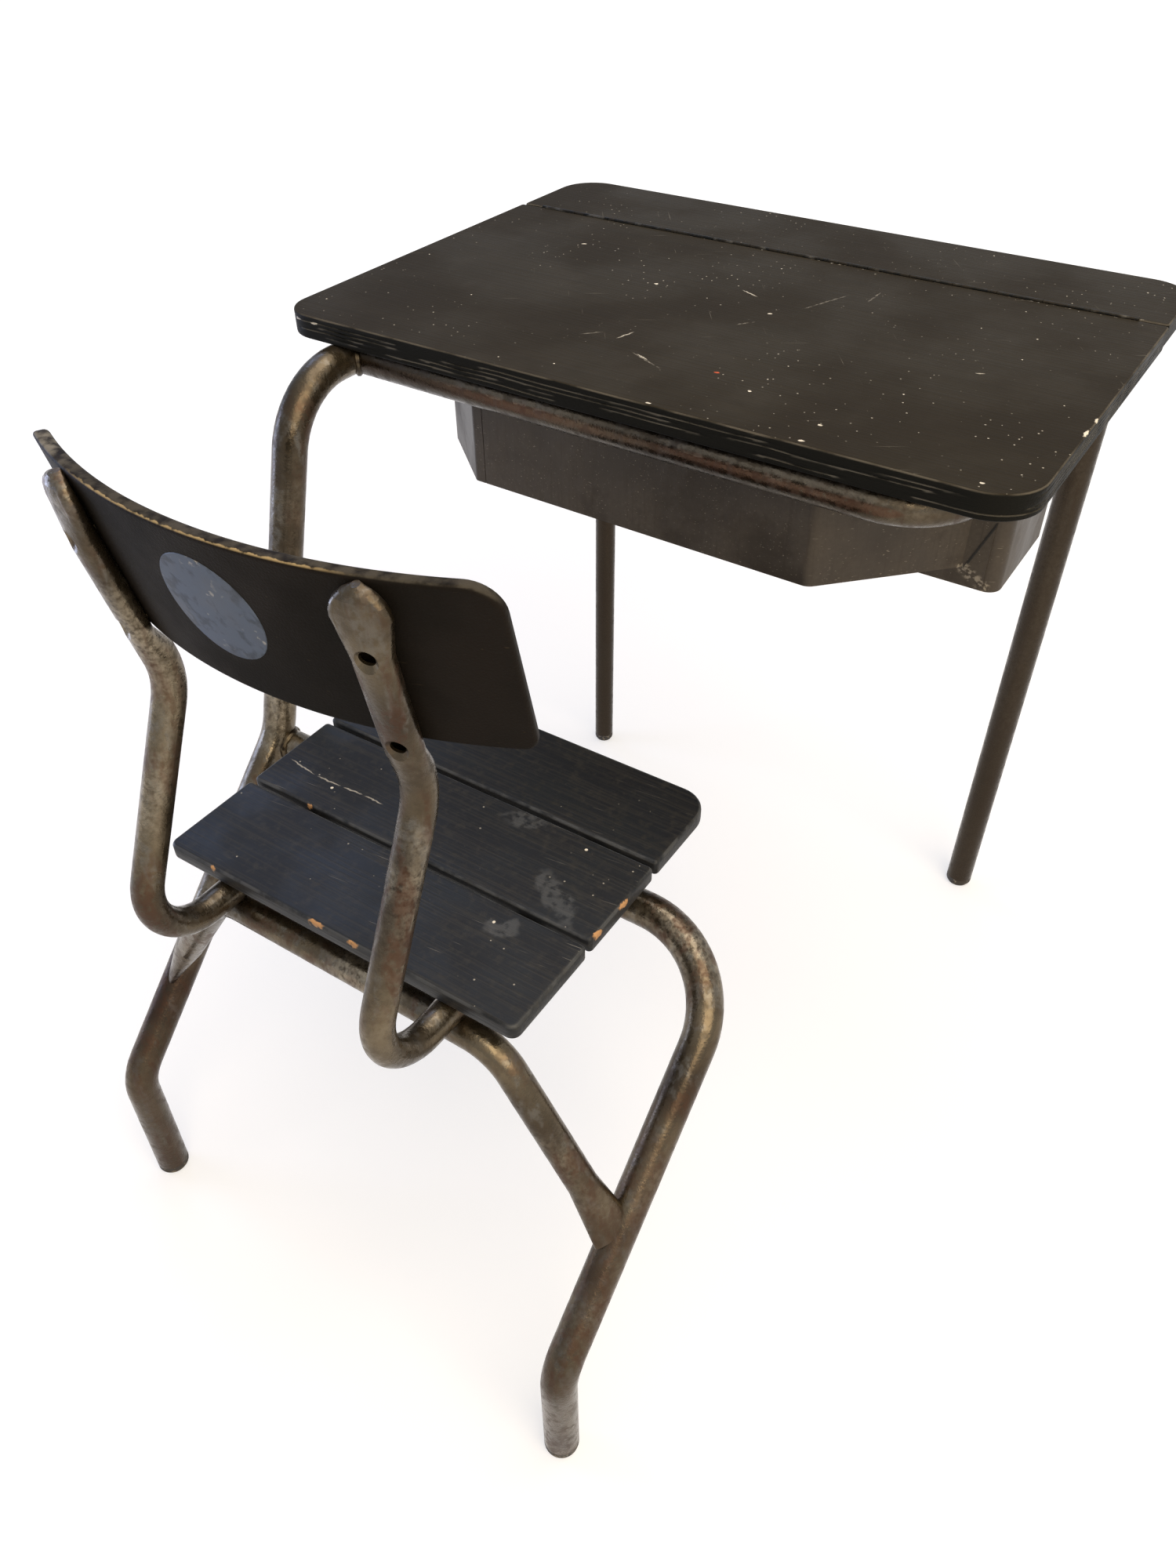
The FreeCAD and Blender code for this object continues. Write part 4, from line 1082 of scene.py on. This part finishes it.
class DESK_OT_welds(Operator):
    """Adds the weld beads where tubes meet"""

    bl_idname = "desk.welds"
    bl_label = "Welds"

    def execute(self, context):
        colours = context.scene.desk_colours
        material = worn_small_steel("dull weld steel", colours.tube_dark, colours.tube_middle,
                                    colours.sheet_dark, seed=81.0)
        for seed, (name, joint) in enumerate(weld_joints.items()):
            builder = weld_bead(weld_loop(*joint), context.scene.desk_sizes.weld_bead, seed)
            make_piece(name, builder, material, "base")
        return {"FINISHED"}


class DESK_OT_tray(Operator):
    """Finishes the folded sheet of the tray"""

    bl_idname = "desk.tray"
    bl_label = "Tray"

    def execute(self, context):
        dress(tray_nodes, stained_sheet_steel(context.scene.desk_colours))
        return {"FINISHED"}


class DESK_OT_table(Operator):
    """Builds the lid and the fixed rear board of the table"""

    bl_idname = "desk.table"
    bl_label = "Table boards"

    def execute(self, context):
        sizes = context.scene.desk_sizes
        material = painted_table_board(context.scene.desk_colours)
        plain = sizes.board_corner
        low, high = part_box("lid_board")
        plan = rounded_plan(low, high, (sizes.lid_left_corner, sizes.lid_right_corner, plain, plain))
        profile = edge_profile(high.z - low.z, sizes.board_edge, ply_heights)
        lid = board(stepped_plan(plan), low.z, profile, lid_seed)
        make_piece("lid", lid, material, "lid", ("lid_board",))
        low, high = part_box("rear_board")
        plan = rounded_plan(low, high, (plain, plain, sizes.rear_board_corner, sizes.rear_board_corner))
        profile = edge_profile(high.z - low.z, sizes.board_edge, rear_ply_heights)
        rear_top = board(stepped_plan(plan), low.z, profile, rear_top_seed)
        make_piece("rear_top", rear_top, material, "base", ("rear_board",))
        return {"FINISHED"}


class DESK_OT_seat(Operator):
    """Builds the three slats of the seat"""

    bl_idname = "desk.seat"
    bl_label = "Seat slats"

    def execute(self, context):
        sizes = context.scene.desk_sizes
        material = chipped_slat_paint(context.scene.desk_colours)
        plain = sizes.slat_corner
        corners = {"seat_slat_front": (plain, plain, sizes.seat_front_corner, sizes.seat_front_corner),
                   "seat_slat_middle": (plain,) * 4,
                   "seat_slat_rear": (sizes.seat_rear_corner, sizes.seat_rear_corner, plain, plain)}
        for index, (node, radii) in enumerate(corners.items()):
            low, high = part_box(node)
            plan = stepped_plan(rounded_plan(low, high, radii))
            profile = edge_profile(high.z - low.z, sizes.slat_edge)
            slat = board(plan, low.z, profile, slat_seed + index)
            make_piece(node.replace("seat_slat", "slat"), slat, material, "base", (node,))
        return {"FINISHED"}


class DESK_OT_backrest(Operator):
    """Builds the bent backrest and the grey disc on its back"""

    bl_idname = "desk.backrest"
    bl_label = "Backrest"

    def execute(self, context):
        sizes = context.scene.desk_sizes
        colours = context.scene.desk_colours
        shape = BackrestShape(sizes)
        make_piece("backrest", backrest(shape, sizes), rubbed_panel_paint(colours), "base",
                   ("backrest_panel",))
        make_piece("backrest_disc", disc_on_back(shape, sizes), scuffed_grey_paint(colours), "base")
        return {"FINISHED"}


class DESK_OT_hardware(Operator):
    """Finishes the hinge, the screws and the feet"""

    bl_idname = "desk.hardware"
    bl_label = "Hardware"

    def execute(self, context):
        colours = context.scene.desk_colours
        hinge = worn_small_steel("painted hinge steel", colours.board_edge, colours.board_shade,
                                 colours.worn_paint, seed=61.0)
        screw = worn_small_steel("turned screw steel", colours.tube_dark, colours.tube_middle,
                                 colours.rust, seed=65.0)
        dress(hinge_nodes, hinge)
        dress(screw_nodes, screw)
        dress(foot_nodes, dusty_rubber(colours))
        return {"FINISHED"}


def area_lamp(name, place, size, power, hex_code):
    """A large soft lamp turned towards the desk."""
    data = bpy.data.lights.new(name, "AREA")
    data.size = size
    data.energy = power
    data.color = linear(hex_code)[:3]
    lamp = bpy.data.objects.new(name, data)
    lamp.location = place
    lamp.rotation_euler = (Vector(lamp_aim) - Vector(place)).to_track_quat("-Z", "Y").to_euler()
    bpy.context.scene.collection.objects.link(lamp)


def background_rays(tree):
    """Full for the camera's own rays and for those that metal and glass send on to the background."""
    rays = add_node(tree, "ShaderNodeLightPath").outputs
    kinds = ("Is Camera Ray", "Is Glossy Ray", "Is Transmission Ray")
    return combined(tree, "MAXIMUM", *(rays[kind] for kind in kinds))


def studio_world():
    """A soft room, cool and dim on the left, warm and bright on the right, with a pale backdrop."""
    world = bpy.data.worlds.new("soft room")
    world.use_nodes = True
    tree = world.node_tree
    tree.nodes.clear()
    place = add_node(tree, "ShaderNodeTexCoord")
    side = add_node(tree, "ShaderNodeVectorMath", {"operation": "DOT_PRODUCT"},
                    {0: place.outputs["Generated"], 1: room_warm_side})
    warm = spread(tree, side.outputs["Value"], -1.0, 1.0)
    glow = layers(tree, linear(room_cool), (warm, linear(room_warm), 1.0))
    pale = layers(tree, linear(backdrop_cool), (warm, linear(backdrop_white), 1.0))
    room = add_node(tree, "ShaderNodeBackground", inputs={"Color": glow, "Strength": room_strength})
    backdrop = add_node(tree, "ShaderNodeBackground", inputs={"Color": pale, "Strength": 1.0})
    seen = add_node(tree, "ShaderNodeMixShader",
                    inputs={0: background_rays(tree), 1: room.outputs[0], 2: backdrop.outputs[0]})
    add_node(tree, "ShaderNodeOutputWorld", inputs={"Surface": seen.outputs[0]})
    bpy.context.scene.world = world


def studio_floor(colours):
    """A wide pale floor that keeps the soft shadow and is lifted to white where it is background."""
    builder = bmesh.new()
    bmesh.ops.create_grid(builder, x_segments=floor_steps, y_segments=floor_steps, size=floor_half)
    mesh = bpy.data.meshes.new("studio_floor")
    builder.to_mesh(mesh)
    builder.free()
    material, tree, where = new_material("matt pale studio floor")[:3]
    away = add_node(tree, "ShaderNodeVectorMath", {"operation": "LENGTH"}, {0: where})
    paler = spread(tree, away.outputs["Value"], floor_near, floor_far, floor_near_lift, floor_far_lift)
    lift = combined(tree, "MULTIPLY", background_rays(tree), paler)
    shader = add_node(tree, "ShaderNodeBsdfPrincipled",
                      inputs={"Base Color": tuple(colours.floor), "Roughness": 0.9,
                              "Specular IOR Level": 0.1, "Emission Color": linear(backdrop_white),
                              "Emission Strength": lift})
    add_node(tree, "ShaderNodeOutputMaterial", inputs={"Surface": shader.outputs[0]})
    mesh.materials.append(material)
    floor = bpy.data.objects.new("studio_floor", mesh)
    floor.location.z = cad_box[0].z - cap_margin
    bpy.context.scene.collection.objects.link(floor)


def photo_camera():
    """The camera at the photograph's place, turn and focal length."""
    yaw, pitch, roll = (math.radians(angle) for angle in (camera_yaw, camera_pitch, camera_roll))
    ahead = Vector((-math.sin(yaw) * math.cos(pitch), math.cos(yaw) * math.cos(pitch), -math.sin(pitch)))
    level = Vector((math.cos(yaw), math.sin(yaw), 0.0))
    down = ahead.cross(level)
    right = level * math.cos(roll) + down * math.sin(roll)
    below = down * math.cos(roll) - level * math.sin(roll)
    data = bpy.data.cameras.new("photo_camera")
    data.sensor_width = camera_sensor
    data.lens = camera_focal_pixels / image_height_pixels * camera_sensor
    camera = bpy.data.objects.new("photo_camera", data)
    turn = Matrix((right, -below, -ahead)).transposed().to_4x4()
    camera.matrix_world = Matrix.Translation(camera_place) @ turn
    bpy.context.scene.collection.objects.link(camera)
    bpy.context.scene.camera = camera


class DESK_OT_stage(Operator):
    """Sets up the floor, the lamps and the camera"""

    bl_idname = "desk.stage"
    bl_label = "Stage"

    def execute(self, context):
        context.scene.view_settings.view_transform = "Standard"
        studio_world()
        studio_floor(context.scene.desk_colours)
        for name, (place, size, power, hex_code) in lamps.items():
            area_lamp(name, place, size, power, hex_code)
        photo_camera()
        return {"FINISHED"}


class DESK_PT_panel(Panel):
    """Lists the steps that dress the desk, and its sizes and colours"""

    bl_label = "School Desk"
    bl_idname = "DESK_PT_panel"
    bl_space_type = "VIEW_3D"
    bl_region_type = "UI"
    bl_category = "Desk"

    def draw(self, context):
        for step in steps:
            self.layout.operator(step.bl_idname)
        for group in (context.scene.desk_sizes, context.scene.desk_colours):
            for name in group.bl_rna.properties.keys():
                if name not in ("rna_type", "name"):
                    self.layout.prop(group, name)


steps = (DESK_OT_tubes, DESK_OT_welds, DESK_OT_tray, DESK_OT_table, DESK_OT_seat, DESK_OT_backrest,
         DESK_OT_hardware, DESK_OT_stage)
classes = (DeskSizes, DeskColours) + steps + (DESK_PT_panel,)


def register():
    for item in classes:
        bpy.utils.register_class(item)
    bpy.types.Scene.desk_sizes = PointerProperty(type=DeskSizes)
    bpy.types.Scene.desk_colours = PointerProperty(type=DeskColours)


def unregister():
    del bpy.types.Scene.desk_colours
    del bpy.types.Scene.desk_sizes
    for item in reversed(classes):
        bpy.utils.unregister_class(item)


def main():
    register()
    for step in steps:
        family, action = step.bl_idname.split(".")
        getattr(getattr(bpy.ops, family), action)()


if __name__ == "__main__":
    main()
